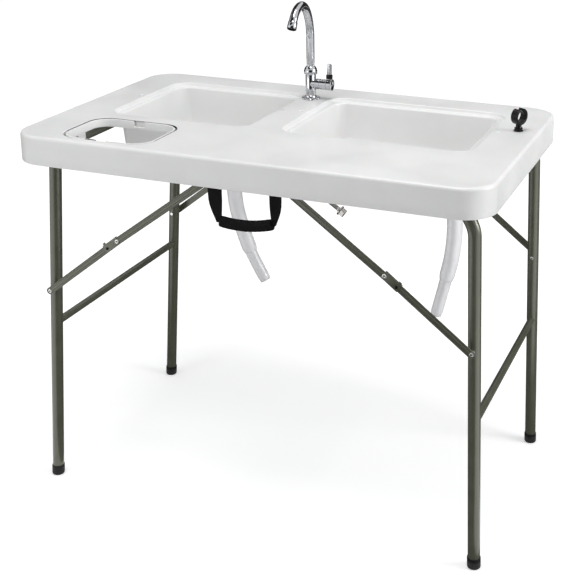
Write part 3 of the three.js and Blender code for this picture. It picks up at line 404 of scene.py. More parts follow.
# The near-black strip below is painted shade. It lies in the gap round the ring's back and sides, with a short
# piece at the front, where the gap only holds shadow.
shade_strip_play = 0.0002
shade_strip_low = 0.9160
shade_strip_height = 0.0037
shade_strip_width = 0.0011
shade_strip_reach = 0.045
shade_strip_over_notch = 0.0008
shade_strip_tab_from, shade_strip_tab_to = -0.373, -0.346
shade_strip = bmesh.new()
strip = rounded_face(shade_strip, waste_centre, waste_half, waste_radius, shade_strip_low, grow=-shade_strip_play)
step_in(shade_strip, strip, [(0, -shade_strip_height), (shade_strip_width, -shade_strip_height), (shade_strip_width, 0)])
open_band(shade_strip, strip)
slice_mesh(shade_strip, (0, waste_centre.y - shade_strip_reach, 0), (0, 1, 0), clear_inner=True)
bmesh.ops.holes_fill(shade_strip, edges=[edge for edge in shade_strip.edges if edge.is_boundary], sides=8)
for x in notch_cuts:
    slice_mesh(shade_strip, (x, 0, 0), (1, 0, 0))
bmesh.ops.recalc_face_normals(shade_strip, faces=shade_strip.faces)
thinned = [
    vert for vert in shade_strip.verts
    if notch_from < vert.co.x < notch_to and vert.co.y > waste_centre.y and vert.co.z < shade_strip_low + 0.0001
]
bmesh.ops.translate(shade_strip, vec=(0, 0, shade_strip_height - shade_strip_over_notch), verts=thinned)
front_gap = waste_centre.y - waste_half.y + shade_strip_play
block(shade_strip, (shade_strip_tab_from, front_gap, shade_strip_low), (shade_strip_tab_to, front_gap + wall, deck), 0.0004)
# The strip takes the black rubber finish so that it paints the gap's shade.
shade_strip_finish = finish_of("black_rubber", (0.010, 0.007, 0.005), (0.030, 0.022, 0.017), 0.7, patch_size=0.012)
add_grain(shade_strip_finish, size=0.0008, depth=0.00015)
add_piece("waste_ring_shade_strip", shade_strip, shade_strip_finish, "waste_ring")


# Drains
# Each basin has a flanged drain with a cross grid, screwed down through the floor by a nut with
# flats. Both are moulded in white plastic.
def turn(bm, profile, place=Matrix(), steps=40):
    """Turns an outline of (radius, height) pairs about the Z axis of a place."""
    verts = [bm.verts.new(place @ Vector((radius, 0, height))) for radius, height in profile]
    edges = [bm.edges.new(pair) for pair in zip(verts, verts[1:])]
    axis = place.to_3x3() @ Vector((0, 0, 1))
    bmesh.ops.spin(
        bm, geom=verts + edges, cent=place.translation, axis=axis, angle=2 * math.pi, steps=steps,
        use_merge=True,
    )
    bmesh.ops.remove_doubles(bm, verts=bm.verts, dist=1e-6)
    bmesh.ops.recalc_face_normals(bm, faces=bm.faces)


def thread(bm, lowest, pitch, coils, root, crest, steps):
    """A run of thread ridges round the Z axis."""
    for coil in range(coils):
        height = lowest + coil * pitch
        turn(bm, [(root, height - pitch / 3), (crest, height), (root, height + pitch / 3)], steps=steps)


drain_seat = 0.8103
drain_foot = 0.770
drain_bore = 0.016
grid_half = 0.0165
grid_bar_half = 0.002
for side, basin in basins.items():
    over_drain = Vector((basin["drain_x"], basin_y, 0))
    drain = bmesh.new()
    turn(drain, [
        (drain_bore, drain_foot), (0.019, drain_foot), (0.020, drain_foot + 0.001), (0.020, drain_seat),
        (0.029, drain_seat), (0.030, drain_seat + 0.0008), (0.0297, drain_seat + 0.002),
        (0.0285, drain_seat + 0.003), (0.0195, drain_seat + 0.003), (0.018, drain_seat + 0.0022),
        (drain_bore, drain_seat), (drain_bore, drain_foot),
    ], steps=48)
    for x, y in ((grid_half, grid_bar_half), (grid_bar_half, grid_half)):
        block(drain, (-x, -y, drain_seat - 0.003), (x, y, drain_seat), 0.0005)
    thread(drain, drain_foot + 0.005, 0.003, 8, 0.0195, 0.0202, 48)
    bmesh.ops.translate(drain, vec=over_drain, verts=drain.verts)
    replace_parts(add_piece(f"{side}_drain_fitting", drain, white_plastic, "table"), f"{side}_drain")
    nut = bmesh.new()
    flats = Matrix.Translation((0, 0, 0.7987)) @ Matrix.Rotation(math.pi / 8, 4, "Z")
    turn(nut, [
        (drain_hole, -0.006), (0.028, -0.006), (0.029, -0.005), (0.029, 0.005), (0.028, 0.006),
        (drain_hole, 0.006), (drain_hole, -0.006),
    ], flats, steps=8)
    turn(nut, [
        (drain_hole, 0.7887), (0.0242, 0.7887), (0.025, 0.7895), (0.025, 0.7935), (drain_hole, 0.7935),
        (drain_hole, 0.7887),
    ])
    bmesh.ops.translate(nut, vec=over_drain, verts=nut.verts)
    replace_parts(add_piece(f"{side}_drain_backnut", nut, white_plastic, "table"), f"{side}_drain_nut")


# Drain hoses
# Soft pale hose hangs from each drain tail. A wider cuff is pushed over the tail and the narrower
# hose comes out of it, and the lower end is open.
pale_hose = finish_of("pale_hose", (0.89, 0.89, 0.92), (0.94, 0.94, 0.97), 0.32, patch_size=0.05)
add_grain(pale_hose, size=0.004, depth=0.0002)
tune(pale_hose, Subsurface_Weight=0.25, Subsurface_Scale=0.01, Subsurface_Radius=(0.9, 0.9, 1.0))
tune(pale_hose, Coat_Weight=0.5, Coat_Roughness=0.15)


def smooth_route(points, steps=5):
    """A smooth curve through given points."""
    points = [Vector(point) for point in points]
    points = [points[0] * 2 - points[1], *points, points[-1] * 2 - points[-2]]
    route = []
    for before, start, end, after in zip(points, points[1:], points[2:], points[3:]):
        for step in range(steps):
            t = step / steps
            route.append(0.5 * (
                2 * start + (end - before) * t + (2 * before - 5 * start + 4 * end - after) * t ** 2
                + (3 * start - 3 * end + after - before) * t ** 3
            ))
    return [*route, points[-2]]


def length_of(route):
    """The length of a run of straight steps."""
    return sum((end - start).length for start, end in zip(route, route[1:]))


def sweep(bm, route, radii, sides=28):
    """Draws a ring of edges along a route without twisting it; returns the first and last rings."""
    steps = range(len(route))
    tangents = [(route[min(here + 1, steps[-1])] - route[max(here - 1, 0)]).normalized() for here in steps]

    def ring_place(here):
        shape = Matrix.Diagonal((radii[here], radii[here], radii[here], 1))
        return Matrix.Translation(route[here]) @ turn_to.to_matrix().to_4x4() @ shape

    turn_to = Vector((0, 0, 1)).rotation_difference(tangents[0])
    place = ring_place(0)
    ring = bmesh.ops.create_circle(bm, cap_ends=False, segments=sides, radius=1, matrix=place)["verts"]
    first = edges = list({edge for vert in ring for edge in vert.link_edges})
    for here in steps[1:]:
        turn_to = tangents[here - 1].rotation_difference(tangents[here]) @ turn_to
        next_place = ring_place(here)
        drawn = bmesh.ops.extrude_edge_only(bm, edges=edges)["geom"]
        edges = picked(drawn, bmesh.types.BMEdge)
        bmesh.ops.transform(bm, matrix=next_place @ place.inverted(), verts=picked(drawn, bmesh.types.BMVert))
        place = next_place
    return first, edges


def join_ends(bm, outer, inner):
    """Closes a tube wall at both ends, between its outer and its inner sweep."""
    for outer_ring, inner_ring in zip(outer, inner):
        bmesh.ops.bridge_loops(bm, edges=outer_ring + inner_ring)
    bmesh.ops.recalc_face_normals(bm, faces=bm.faces)


def draw_hose(bm, route, radius, bore_shade):
    """A hose wall with open ends, its mouth a little drawn in."""
    radii = [radius] * (len(route) - 2) + [radius * 0.985, radius * 0.86]
    outer = sweep(bm, route, radii)
    join_ends(bm, outer, sweep(bm, route, [bore_shade] * len(route)))


def sharp_edges(bm, least_angle=1):
    """The edges between faces that meet at more than an angle."""
    return [edge for edge in bm.edges if len(edge.link_faces) == 2 and edge.calc_face_angle() > least_angle]


hose_radius = 0.015
hose_wall = 0.0018
cuff_radius = 0.019
cuff_play = 0.0002
cuff_steps = 20
hose_places = {
    "left": [
        (-0.210, 0.7697), (-0.210, 0.715), (-0.205, 0.657), (-0.189, 0.596), (-0.168, 0.537), (-0.148, 0.498),
        (-0.128, 0.462),
    ],
    "right": [
        (0.375, 0.7697), (0.375, 0.718), (0.376, 0.657), (0.371, 0.597), (0.359, 0.538), (0.348, 0.488),
        (0.337, 0.440),
    ],
}
for side, places in hose_places.items():
    points = [(x, basin_y, height) for x, height in places]
    route = smooth_route(points)
    hose = bmesh.new()
    draw_hose(hose, route, hose_radius, hose_radius - hose_wall)
    piece = add_piece(f"{side}_pale_hose", hose, pale_hose, "table")
    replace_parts(piece, f"{side}_drain_hose")
    cuff = bmesh.new()
    draw_hose(cuff, route[:cuff_steps + 1], cuff_radius, hose_radius + cuff_play)
    ease_edges(cuff, sharp_edges(cuff), 0.0012, segments=3)
    cuff_piece = add_piece(f"{side}_hose_cuff", cuff, pale_hose, "table")


# Faucet base and body
# A notched flange stands on the deck between the basins. The body above it has a valve barrel on
# its side and a threaded shank below, held by a brass locknut under the deck. All is chromed brass.
chrome = finish_of("chrome", (0.50, 0.51, 0.53), (0.54, 0.55, 0.57), 0.075, 1, 0.08, 0.012)
add_grain(chrome, size=0.04, depth=0.0001, strength=0.2)
brass_finish = finish_of("brass", (0.46, 0.41, 0.33), (0.62, 0.57, 0.48), 0.25, 1, 0.01, 0.08)
add_grain(brass_finish, size=0.0015, depth=0.0001)


def add_at_faucet(name, bm, material, body, height=0, smooth_under=38):
    """Adds a piece that was made about the foot of the faucet's axis."""
    bmesh.ops.translate(bm, vec=faucet_place + Vector((0, 0, height)), verts=bm.verts)
    return add_piece(name, bm, material, body, smooth_under)


flange_radius = 0.0225
flange_low = 0.9203
flange_high = 0.9243
flange = bmesh.new()
turn(flange, [
    (faucet_hole, flange_low), (0.0215, flange_low), (flange_radius, 0.9211), (flange_radius, 0.9235),
    (0.0219, 0.9241), (0.0212, flange_high), (faucet_hole, flange_high), (faucet_hole, flange_low),
], steps=64)
notch_count = 8
notch_radius = 0.0042
notch_foot = 0.9225
notch_press = 0.8
notch_fall = 0.0009
for notch in range(notch_count):
    middle = (notch + 0.5) / notch_count * 2 * math.pi
    outward = Vector((math.cos(middle), math.sin(middle), 0))
    for vert in flange.verts:
        reach = (vert.co - outward * flange_radius).to_2d().length
        if reach < notch_radius and vert.co.z > notch_foot:
            vert.co -= outward * (notch_radius - reach) * notch_press
            vert.co.z -= notch_fall
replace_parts(add_at_faucet("faucet_base_flange", flange, chrome, "table"), "faucet_flange")

body_radius = 0.013
shank_radius = 0.010
barrel_height = 0.959
body = bmesh.new()
turn(body, [
    (0, 0.877), (0.009, 0.877), (shank_radius, 0.878), (shank_radius, 0.9246), (0.0145, 0.9246),
    (0.0145, 0.9276), (0.0138, 0.9288), (body_radius, 0.9296), (body_radius, 0.982), (0.0123, 0.983),
    (0, 0.983),
], steps=48)
thread(body, 0.8805, 0.0027, 9, 0.0098, 0.0103, 32)
sideways = Matrix.Translation((0, 0, barrel_height)) @ Matrix.Rotation(math.pi / 2, 4, "Y")
turn(body, [
    (0, 0), (0.0126, 0), (0.0126, 0.018), (body_radius, 0.0185), (body_radius, 0.0262), (0.0121, 0.0268),
    (0.0121, 0.0288), (body_radius, 0.0294), (body_radius, 0.0435), (0.0125, 0.044), (0, 0.044),
], sideways, steps=48)
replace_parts(add_at_faucet("faucet_column", body, chrome, "table"), "faucet_body")

locknut = bmesh.new()
flats = Matrix.Translation((0, 0, 0.9092)) @ Matrix.Rotation(math.pi / 6, 4, "Z")
turn(locknut, [
    (faucet_hole, -0.0055), (0.0138, -0.0055), (0.0150, -0.0044), (0.0150, 0.0044), (0.0138, 0.0055),
    (faucet_hole, 0.0055), (faucet_hole, -0.0055),
], flats, steps=6)
locknut_piece = add_at_faucet("faucet_backnut", locknut, brass_finish, "table", smooth_under=20)
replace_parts(locknut_piece, "faucet_locknut")


# Spout
# A chromed gooseneck tube that turns in a domed nut on top of the body. A wider aerator is screwed
# on its end, with a dark rounded mouth.
dome_bore = 0.0105
dome_low = 0.9833
dome = bmesh.new()
turn(dome, [
    (dome_bore, dome_low), (0.0163, dome_low), (0.017, 0.984), (0.017, 0.991), (0.0165, 0.9922),
    (0.0158, 0.9953), (0.0145, 0.9985), (0.0128, 1.0008), (0.0117, 1.0024), (0.0111, 1.003),
    (dome_bore, 1.003), (dome_bore, dome_low),
], steps=48)
flute_pitch = 2 * math.pi / 16
flute_half_angle = 0.06
flute_low, flute_high = 0.984, 0.9918
flute_share = 0.975
for vert in dome.verts:
    past_flute = math.atan2(vert.co.y, vert.co.x) % flute_pitch
    from_flute = min(past_flute, flute_pitch - past_flute)
    if flute_low < vert.co.z < flute_high and from_flute < flute_half_angle:
        vert.co.x *= flute_share
        vert.co.y *= flute_share
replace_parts(add_at_faucet("spout_collar_nut", dome, chrome, "table"), "spout_dome_nut")


def draw_rod(bm, route, radius, sides):
    """A solid round rod along a route."""
    for ring in sweep(bm, route, [radius] * len(route), sides):
        bmesh.ops.edgeloop_fill(bm, edges=ring)
    bmesh.ops.recalc_face_normals(bm, faces=bm.faces)


spout_radius = 0.01008
bend_radius = 0.056
bend_height = 1.104
bend_sweep = math.radians(150)
bend_steps = 36
rise = 0.034
stem_steps = 9
stem_pitch = 0.0095
spout_route = [faucet_place + Vector((0, 0, dome_low + stem_pitch * step)) for step in range(stem_steps)]
for step in range(bend_steps + 1):
    angle = bend_sweep * step / bend_steps
    height = bend_height + bend_radius * math.sin(angle)
    if angle < math.pi / 2:
        height = bend_height - rise + (bend_radius + rise) * math.sin(angle)
    spout_route.append(faucet_place + Vector((0, -bend_radius * (1 - math.cos(angle)), height)))
spout_end_way = Vector((0, -math.sin(bend_sweep), math.cos(bend_sweep)))
spout_route.append(spout_route[-1] + spout_end_way * 0.003)
spout = bmesh.new()
draw_rod(spout, spout_route, spout_radius, 36)
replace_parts(add_piece("gooseneck_spout", spout, chrome, "spout"), "spout")

aerator_bore = 0.0094
grille_low = -0.0152
aerator = bmesh.new()
pointing = Vector((0, 0, -1)).rotation_difference(spout_end_way).to_matrix().to_4x4()
mouth_place = Matrix.Translation(spout_route[-1]) @ pointing
turn(aerator, [
    (0, -0.0003), (0.0098, -0.0003), (0.0110, -0.0009), (0.0114, -0.002), (0.0114, -0.0055), (0.0109, -0.006),
    (0.0109, -0.0068), (0.0116, -0.0074), (0.0116, -0.0172), (0.0110, -0.018), (0.0098, -0.018),
    (aerator_bore, -0.0174), (aerator_bore, grille_low), (0, grille_low),
], mouth_place, steps=44)
grille_pitch = 0.0024
grille_reach = 0.0093
grille_wire = 0.0005
for bar in range(-3, 4):
    aside = bar * grille_pitch
    lying = Matrix.Translation((aside, 0, grille_low - grille_wire)) @ Matrix.Rotation(math.pi / 2, 4, "X")
    half = math.sqrt(grille_reach ** 2 - aside ** 2)
    wire = [(0, -half), (grille_wire, -half), (grille_wire, half), (0, half)]
    turn(aerator, wire, mouth_place @ lying, steps=8)
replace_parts(add_piece("spout_tip", aerator, chrome, "spout"), "spout_aerator")

black_plastic = finish_of("black_plastic", (0.002,) * 3, (0.005,) * 3, 0.28, patch_size=0.02)
tune(black_plastic, Specular_IOR_Level=0.22)
add_grain(black_plastic, size=0.0012, depth=0.00012)
insert = bmesh.new()
turn(insert, [
    (0.0086, -0.0165), (0.0086, -0.0188), (0.0096, -0.0194), (0.0108, -0.0191), (0.0113, -0.0184),
    (0.0113, -0.0178), (0.0100, -0.0175), (0.0092, -0.0165), (0.0086, -0.0165),
], mouth_place, steps=44)
turn(insert, [(0, -0.0160), (0.0090, -0.0160), (0.0090, -0.0168), (0, -0.0168)], mouth_place, steps=44)
add_piece("spout_tip_insert", insert, black_plastic, "spout")


# Lever
# A quarter-turn lever on the end of the valve barrel: a chromed hub with an end disc and an upright
# satin blade, whose foot is covered by a black plastic sleeve.
satin_chrome = finish_of("chrome", (0.30, 0.31, 0.32), (0.42, 0.43, 0.44), 0.3, 1, 0.006, 0.06)
add_grain(satin_chrome, size=0.0015, depth=0.00004)
hub = bmesh.new()
turn(hub, [
    (0, 0.0443), (0.0124, 0.0443), (0.013, 0.0449), (0.013, 0.0545), (0.0142, 0.0556), (0.015, 0.0566),
    (0.015, 0.0582), (0.0144, 0.0588), (0.0075, 0.0588), (0.0068, 0.0584), (0, 0.0584),
], sideways, steps=48)
blade_half = 0.0015
blade_top = 0.053
blade = bmesh.new()
block(blade, (0.0448, -blade_half, 0.010), (0.0568, blade_half, blade_top))
top_corners = [edge for edge in blade.edges if all(vert.co.z > blade_top - blade_half for vert in edge.verts)
               and abs(edge.verts[0].co.y - edge.verts[1].co.y) > blade_half]
ease_edges(blade, top_corners, 0.0035, segments=6)
ease_edges(blade, sharp_edges(blade), 0.0005)
add_at_faucet("lever_blade", blade, satin_chrome, "lever", barrel_height)
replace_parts(add_at_faucet("lever_hub", hub, chrome, "lever"), "faucet_lever")
dot = bmesh.new()
for across in (-1, 1):
    facing = Matrix.Translation((0.0508, across * blade_half, barrel_height + 0.046))
    facing = facing @ Matrix.Rotation(-across * math.pi / 2, 4, "X")
    turn(dot, [(0, 0.0002), (0.0012, 0.0002), (0.0014, 0), (0.0014, -0.0004)], facing, steps=20)
add_at_faucet("lever_dot", dot, black_plastic, "lever")
sleeve = bmesh.new()
block(sleeve, (0.0432, -0.0045, 0.0153), (0.0582, 0.0045, 0.026), 0.0012)
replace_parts(add_at_faucet("lever_foot_sleeve", sleeve, black_plastic, "lever", barrel_height), "lever_sleeve")


# Supply hose
# A steel-braided hose hangs from a coupling nut on the faucet's shank. Its far end has a plated
# connector with a collar, a black washer and a hexagonal nut.
def add_weave(material, place, turns, scale, depth, strength=1.0):
    """Raised threads that cross at two slants."""
    tree = material.node_tree
    crossing = add_node(tree, "Math", operation="MAXIMUM")
    for slot, rotation in enumerate(turns):
        slanted = add_node(tree, "Mapping", {"Vector": place, "Rotation": rotation}).outputs["Vector"]
        threads = add_node(tree, "TexWave", {"Vector": slanted, "Scale": scale})
        feed(tree, crossing, {slot: threads.outputs["Fac"]})
    add_bump(material, crossing.outputs["Value"], depth, strength)


braid = finish_of("braid", (0.16, 0.16, 0.15), (0.34, 0.34, 0.32), 0.38, 0.9, 0.004, 0.1)
braid_map = add_node(braid.node_tree, "UVMap", uv_map="along")
braid_lean = math.radians(52)
add_weave(braid, braid_map.outputs["UV"], [(0, 0, braid_lean), (0, 0, -braid_lean)], 110, 0.0006)


def lay_map(piece, route, sides, girth):
    """A UV map in metres, along the route and round the girth, for a pattern that follows a hose."""
    mesh = piece.data
    layer = mesh.uv_layers.new(name="along")
    walked = [length_of(route[:here + 1]) for here in range(len(route))]
    for face in mesh.polygons:
        corners = [layer.data[corner] for corner in face.loop_indices]
        for corner, vert in zip(corners, face.vertices):
            ring, place = divmod(vert, sides)
            corner.uv = (walked[min(ring, len(walked) - 1)], place / sides * girth)
        places = [corner.uv[1] for corner in corners]
        if max(places) - min(places) > girth / 2:
            for corner in corners:
                if corner.uv[1] < girth / 2:
                    corner.uv[1] += girth


supply_radius = 0.0055
supply_sides = 20
supply_points = [
    (-0.054, 0.218, 0.8577), (-0.054, 0.218, 0.835), (-0.054, 0.2175, 0.811), (-0.053, 0.216, 0.787),
    (-0.050, 0.2135, 0.763), (-0.045, 0.2105, 0.739), (-0.037, 0.207, 0.715), (-0.0265, 0.204, 0.693),
    (-0.014, 0.2015, 0.674), (0.002, 0.200, 0.6575), (0.025, 0.200, 0.642),
]
supply_route = smooth_route(supply_points, 3)
supply = bmesh.new()
draw_rod(supply, supply_route, supply_radius, supply_sides)
supply_piece = add_piece("braided_supply_hose", supply, braid, "table", 60)
lay_map(supply_piece, supply_route, supply_sides, 2 * math.pi * supply_radius)
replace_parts(supply_piece, "supply_hose")

coupling = bmesh.new()
turn(coupling, [
    (0, 0.858), (0.0075, 0.858), (0.0085, 0.860), (0.0085, 0.866), (0.0095, 0.8668), (0.011, 0.868),
    (0.011, 0.8758), (0.010, 0.8767), (0, 0.8767),
])
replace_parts(add_at_faucet("coupling_nut", coupling, brass_finish, "table"), "supply_coupling")

nickel = finish_of("brass", (0.56, 0.53, 0.50), (0.74, 0.72, 0.69), 0.2, 1, 0.01, 0.06)
add_grain(nickel, size=0.0015, depth=0.00005)
collar_end = 0.0123
connector = bmesh.new()
way = (supply_route[-1] - Vector(supply_points[-2])).normalized()
turned = Vector((0, 0, 1)).rotation_difference(way).to_matrix().to_4x4()
end_place = Matrix.Translation(supply_route[-1]) @ turned
turn(connector, [
    (0, 0.0003), (0.0054, 0.0003), (0.006, 0.001), (0.006, 0.0083), (0.0124, 0.0083), (0.013, 0.0089),
    (0.013, 0.0117), (0.0124, collar_end), (0, collar_end),
], end_place, steps=36)
turn(connector, [
    (0.007, 0.0253), (0.0112, 0.0253), (0.0121, 0.0243), (0.0121, collar_end), (0.007, collar_end),
    (0.007, 0.0188), (0.007, 0.0253),
], end_place, steps=6)
connector_piece = add_piece("supply_connector_nut", connector, nickel, "table", 25)
washer = bmesh.new()
turn(washer, [
    (0.0128, 0.0118), (0.0136, 0.0118), (0.0139, collar_end), (0.0136, 0.0128), (0.0116, 0.0128),
    (0.0116, 0.0122), (0.0128, 0.0118),
], end_place, steps=36)
washer_piece = add_piece("supply_connector_washer", washer, black_plastic, "table")
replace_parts(connector_piece, "supply_connector")


# Hose clip
# An open ring of black plastic that grips a spray hose. Its peg is pressed into the deck beside the
# large basin, and a stepped foot stands on the deck.
clip_outer = 0.0195
clip_inner = 0.0135
clip_width = 0.018
clip_height = 0.955
clip_gap = math.radians(46)
clip_turn = math.radians(61)
clip = bmesh.new()
half = clip_width / 2
corners = [(-half, clip_inner), (half, clip_inner), (half, clip_outer), (-half, clip_outer)]
end_face = clip.faces.new([clip.verts.new((0, across, radius)) for across, radius in corners])
bmesh.ops.rotate(clip, verts=clip.verts, cent=(0, 0, 0), matrix=Matrix.Rotation(clip_gap / 2, 3, "Y"))
bmesh.ops.spin(
    clip, geom=[end_face], cent=(0, 0, 0), axis=(0, 1, 0), angle=2 * math.pi - clip_gap, steps=48,
)
bmesh.ops.recalc_face_normals(clip, faces=clip.faces)
ease_edges(clip, sharp_edges(clip), 0.0009, segments=3)
bmesh.ops.translate(clip, vec=(0, 0, clip_height), verts=clip.verts)
turn(clip, [
    (0, 0.913), (0.006, 0.913), (0.006, 0.9203), (0.0105, 0.9203), (0.011, 0.9208), (0.011, 0.9222),
    (0.0103, 0.9229), (0.0078, 0.9231), (0.0074, 0.9244), (0.0078, 0.9256), (0.0096, 0.9258),
    (0.0099, 0.9264), (0.0099, 0.9276), (0.0094, 0.9282), (0.0076, 0.9286), (0.0068, 0.9300),
    (0.0068, 0.9385), (0, 0.9385),
], steps=36)
bmesh.ops.rotate(clip, verts=clip.verts, cent=(0, 0, 0), matrix=Matrix.Rotation(clip_turn, 3, "Z"))
bmesh.ops.translate(clip, vec=clip_place, verts=clip.verts)
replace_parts(add_piece("hose_holder", clip, black_plastic, "table"), "hose_clip")


# Carry handle
# Black nylon webbing comes down from two lugs inside the front rim, folds narrow and runs through a
# padded grip that is wrapped in the same cloth.
webbing = finish_of("black_webbing", (0.003, 0.003, 0.003), (0.009, 0.009, 0.010), 0.75, patch_size=0.012)
tune(webbing, Specular_IOR_Level=0.12)
web_place = add_node(webbing.node_tree, "TexCoord").outputs["Object"]
web_lean = math.radians(35)
add_weave(webbing, web_place, [(0, web_lean, 0), (0, -web_lean, 0)], 190, 0.0005, 0.8)

handle_y = -0.338
handle_top = 0.856
grip_radius = 0.0127
grip_core = 0.0048
grip_sag = 0.007
grip_steps = 24
grip_sides = 80
grip_fold_depth = 0.035
grip_folds = 10
grip_ripple = 0.02
grip_end_share = 0.94
grip_ends = [Vector((end["grip_end"], handle_y, end["grip_height"])) for end in strap_ends.values()]


def grip_point(share):
    """A point of the grip's centre line, which sags in the middle."""
    sag = Vector((0, 0, grip_sag * 4 * share * (1 - share)))
    return grip_ends[0].lerp(grip_ends[1], share) - sag


grip_route = [grip_point(step / grip_steps) for step in range(grip_steps + 1)]
grip_radii = [grip_radius * (1 - grip_ripple * (step % 2)) for step in range(grip_steps + 1)]
grip_radii[0] *= grip_end_share
grip_radii[-1] *= grip_end_share
grip = bmesh.new()
outer = sweep(grip, grip_route, grip_radii, grip_sides)
for vert in grip.verts:
    core = grip_point((vert.co.x - grip_ends[0].x) / (grip_ends[1].x - grip_ends[0].x))
    around = math.atan2(vert.co.z - core.z, vert.co.y - core.y)
    vert.co = core + (vert.co - core) * (1 - grip_fold_depth * (1 - abs(math.sin(around * grip_folds))))
join_ends(grip, outer, sweep(grip, grip_route, [grip_core] * len(grip_route), grip_sides))
grip_piece = add_piece("padded_grip", grip, webbing, "handle", 60)
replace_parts(grip_piece, "carry_grip")

strap_core = 0.004
strap_fullness = 1.06
strap = bmesh.new()
draw_rod(strap, grip_route, strap_core, 12)
# How far down, how wide and how thick the webbing is, and how far it has drawn in to the grip
strap_levels = [
    (0.0, 1.0, 0.0012, 0.0), (0.2, 1.0, 0.0012, 0.0), (0.4, 0.97, 0.0013, 0.04),
    (0.55, 0.88, 0.0015, 0.14), (0.7, 0.72, 0.0020, 0.34), (0.82, 0.56, 0.0026, 0.56),
    (0.92, 0.42, 0.0033, 0.78), (1.03, 0.30, 0.0040, 1.0),
]
for end in strap_ends.values():
    drift = end["grip_end"] - end["inward"] * strap_core - end["x"]
    fall = handle_top - end["grip_height"]
    section = bmesh.ops.create_grid(strap, x_segments=8, y_segments=1, size=1)["verts"]
    faces = list({face for vert in section for face in vert.link_faces})
    place = Matrix()
    for drop, width, thick, shift in strap_levels:
        centre = Matrix.Translation((end["x"] + drift * shift, handle_y, handle_top - fall * drop))
        next_place = centre @ Matrix.Diagonal((end["half"] * width * strap_fullness, thick, 1, 1))
        if drop:
            pushed = bmesh.ops.extrude_face_region(strap, geom=faces)["geom"]
            section = picked(pushed, bmesh.types.BMVert)
            faces = picked(pushed, bmesh.types.BMFace)
        bmesh.ops.transform(strap, matrix=next_place @ place.inverted(), verts=section)
        place = next_place
bmesh.ops.remove_doubles(strap, verts=strap.verts, dist=1e-6)
bmesh.ops.recalc_face_normals(strap, faces=strap.faces)
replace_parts(add_piece("webbing_strap", strap, webbing, "handle", 50), "carry_strap")


# Leg frames
# Each is one bent steel tube with a cross bar, powder-coated olive grey. The right frame's tops are
# cranked inwards, so that it folds flat under the left one. Rubber caps close the feet.
olive_coat = finish_of("olive_paint", (0.088, 0.091, 0.061), (0.104, 0.107, 0.074), 0.34, 0.2, 0.05, 0.05)
tune(olive_coat, Coat_Weight=0.7, Coat_Roughness=0.25)
add_grain(olive_coat, size=0.0012, depth=0.00003)
rubber = finish_of("black_rubber", (0.004,) * 3, (0.010,) * 3, 0.6, patch_size=0.01)
tune(rubber, Specular_IOR_Level=0.3)
add_grain(rubber, size=0.0009, depth=0.00015)
leg_radius = 0.0142
bar_radius = 0.009
foot_spread = 0.558
hinge_half = 0.284
foot_half = 0.299
foot_end = 0.006
corner_bend = 0.050
crank_bend = 0.070
crank_height = 0.815
cap_radius = 0.0160
legs = {
    "left": {"sign": -1, "lean": math.radians(5.194429), "bar": 0.436},
    "right": {"sign": 1, "lean": math.radians(2.924384), "bar": 0.372},
}


def on_leg(leg, across, height):
    """The middle of a leg tube at a height."""
    x = leg["sign"] * (foot_spread - math.tan(leg["lean"]) * height)
    y = across * (foot_half + (hinge_half - foot_half) * height / hinge_height)
    return Vector((x, y, height))


def bent_route(corners, radius, steps=14):
    """Straight runs between corners, each corner bent to a radius."""
    route = [corners[0]]
    for before, corner, after in zip(corners, corners[1:], corners[2:]):
        arriving = (corner - before).normalized()
        leaving = (after - corner).normalized()
        bend = arriving.angle(leaving)
        start = corner - arriving * radius * math.tan(bend / 2)
        inward = (leaving - arriving * arriving.dot(leaving)).normalized()
        for step in range(steps + 1):
            angle = bend * step / steps
            ahead, aside = radius * math.sin(angle), radius * (1 - math.cos(angle))
            route.append(start + arriving * ahead + inward * aside)
    return [*route, corners[-1]]


for side, leg in legs.items():
    front_end, rear_end = [on_leg(leg, across, foot_end) for across in (-1, 1)]
    hinge_ends = [(leg["sign"] * hinge_x, y, hinge_height) for y in (-hinge_half, hinge_half)]
    front_top, rear_top = map(Vector, hinge_ends)
    if side == "left":
        route = bent_route([front_end, front_top, rear_top, rear_end], corner_bend)
    else:
        crank = on_leg(leg, -1, crank_height)
        lower = bent_route([front_end, crank, front_top], crank_bend, 8)
        upper = bent_route([crank, front_top, (front_top + rear_top) / 2], corner_bend)
        half_route = lower[:-1] + upper[1:-1]
        route = half_route + [Vector((point.x, -point.y, point.z)) for point in reversed(half_route)]
    tube = bmesh.new()
    draw_rod(tube, route, leg_radius, 32)
    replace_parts(add_piece(f"{side}_bent_tube", tube, olive_coat, f"{side}_leg"), f"{side}_leg_frame")
    bar = bmesh.new()
    sweep(bar, [on_leg(leg, across, leg["bar"]) for across in (-1, 1)], [bar_radius] * 2)
    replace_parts(add_piece(f"{side}_cross_tube", bar, olive_coat, f"{side}_leg"), f"{side}_cross_bar")
    for name, across in (("front", -1), ("rear", 1)):
        foot = bmesh.new()
        turn(foot, [
            (0, 0), (0.0118, 0), (0.0140, 0.0008), (0.0154, 0.0024), (cap_radius, 0.0048),
            (cap_radius, 0.0262), (0.0157, 0.0274), (0.0152, 0.028), (0.0143, 0.028), (0, 0.0276),
        ], steps=36)
        slope = Matrix()
        slope[0][2] = -leg["sign"] * math.tan(leg["lean"])
        slope[1][2] = across * (hinge_half - foot_half) / hinge_height
        bmesh.ops.transform(foot, matrix=slope, verts=foot.verts)
        bmesh.ops.translate(foot, vec=on_leg(leg, across, 0), verts=foot.verts)
        piece = add_piece(f"{side}_{name}_foot_cap", foot, rubber, f"{side}_leg")
        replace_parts(piece, f"{side}_{name}_foot")


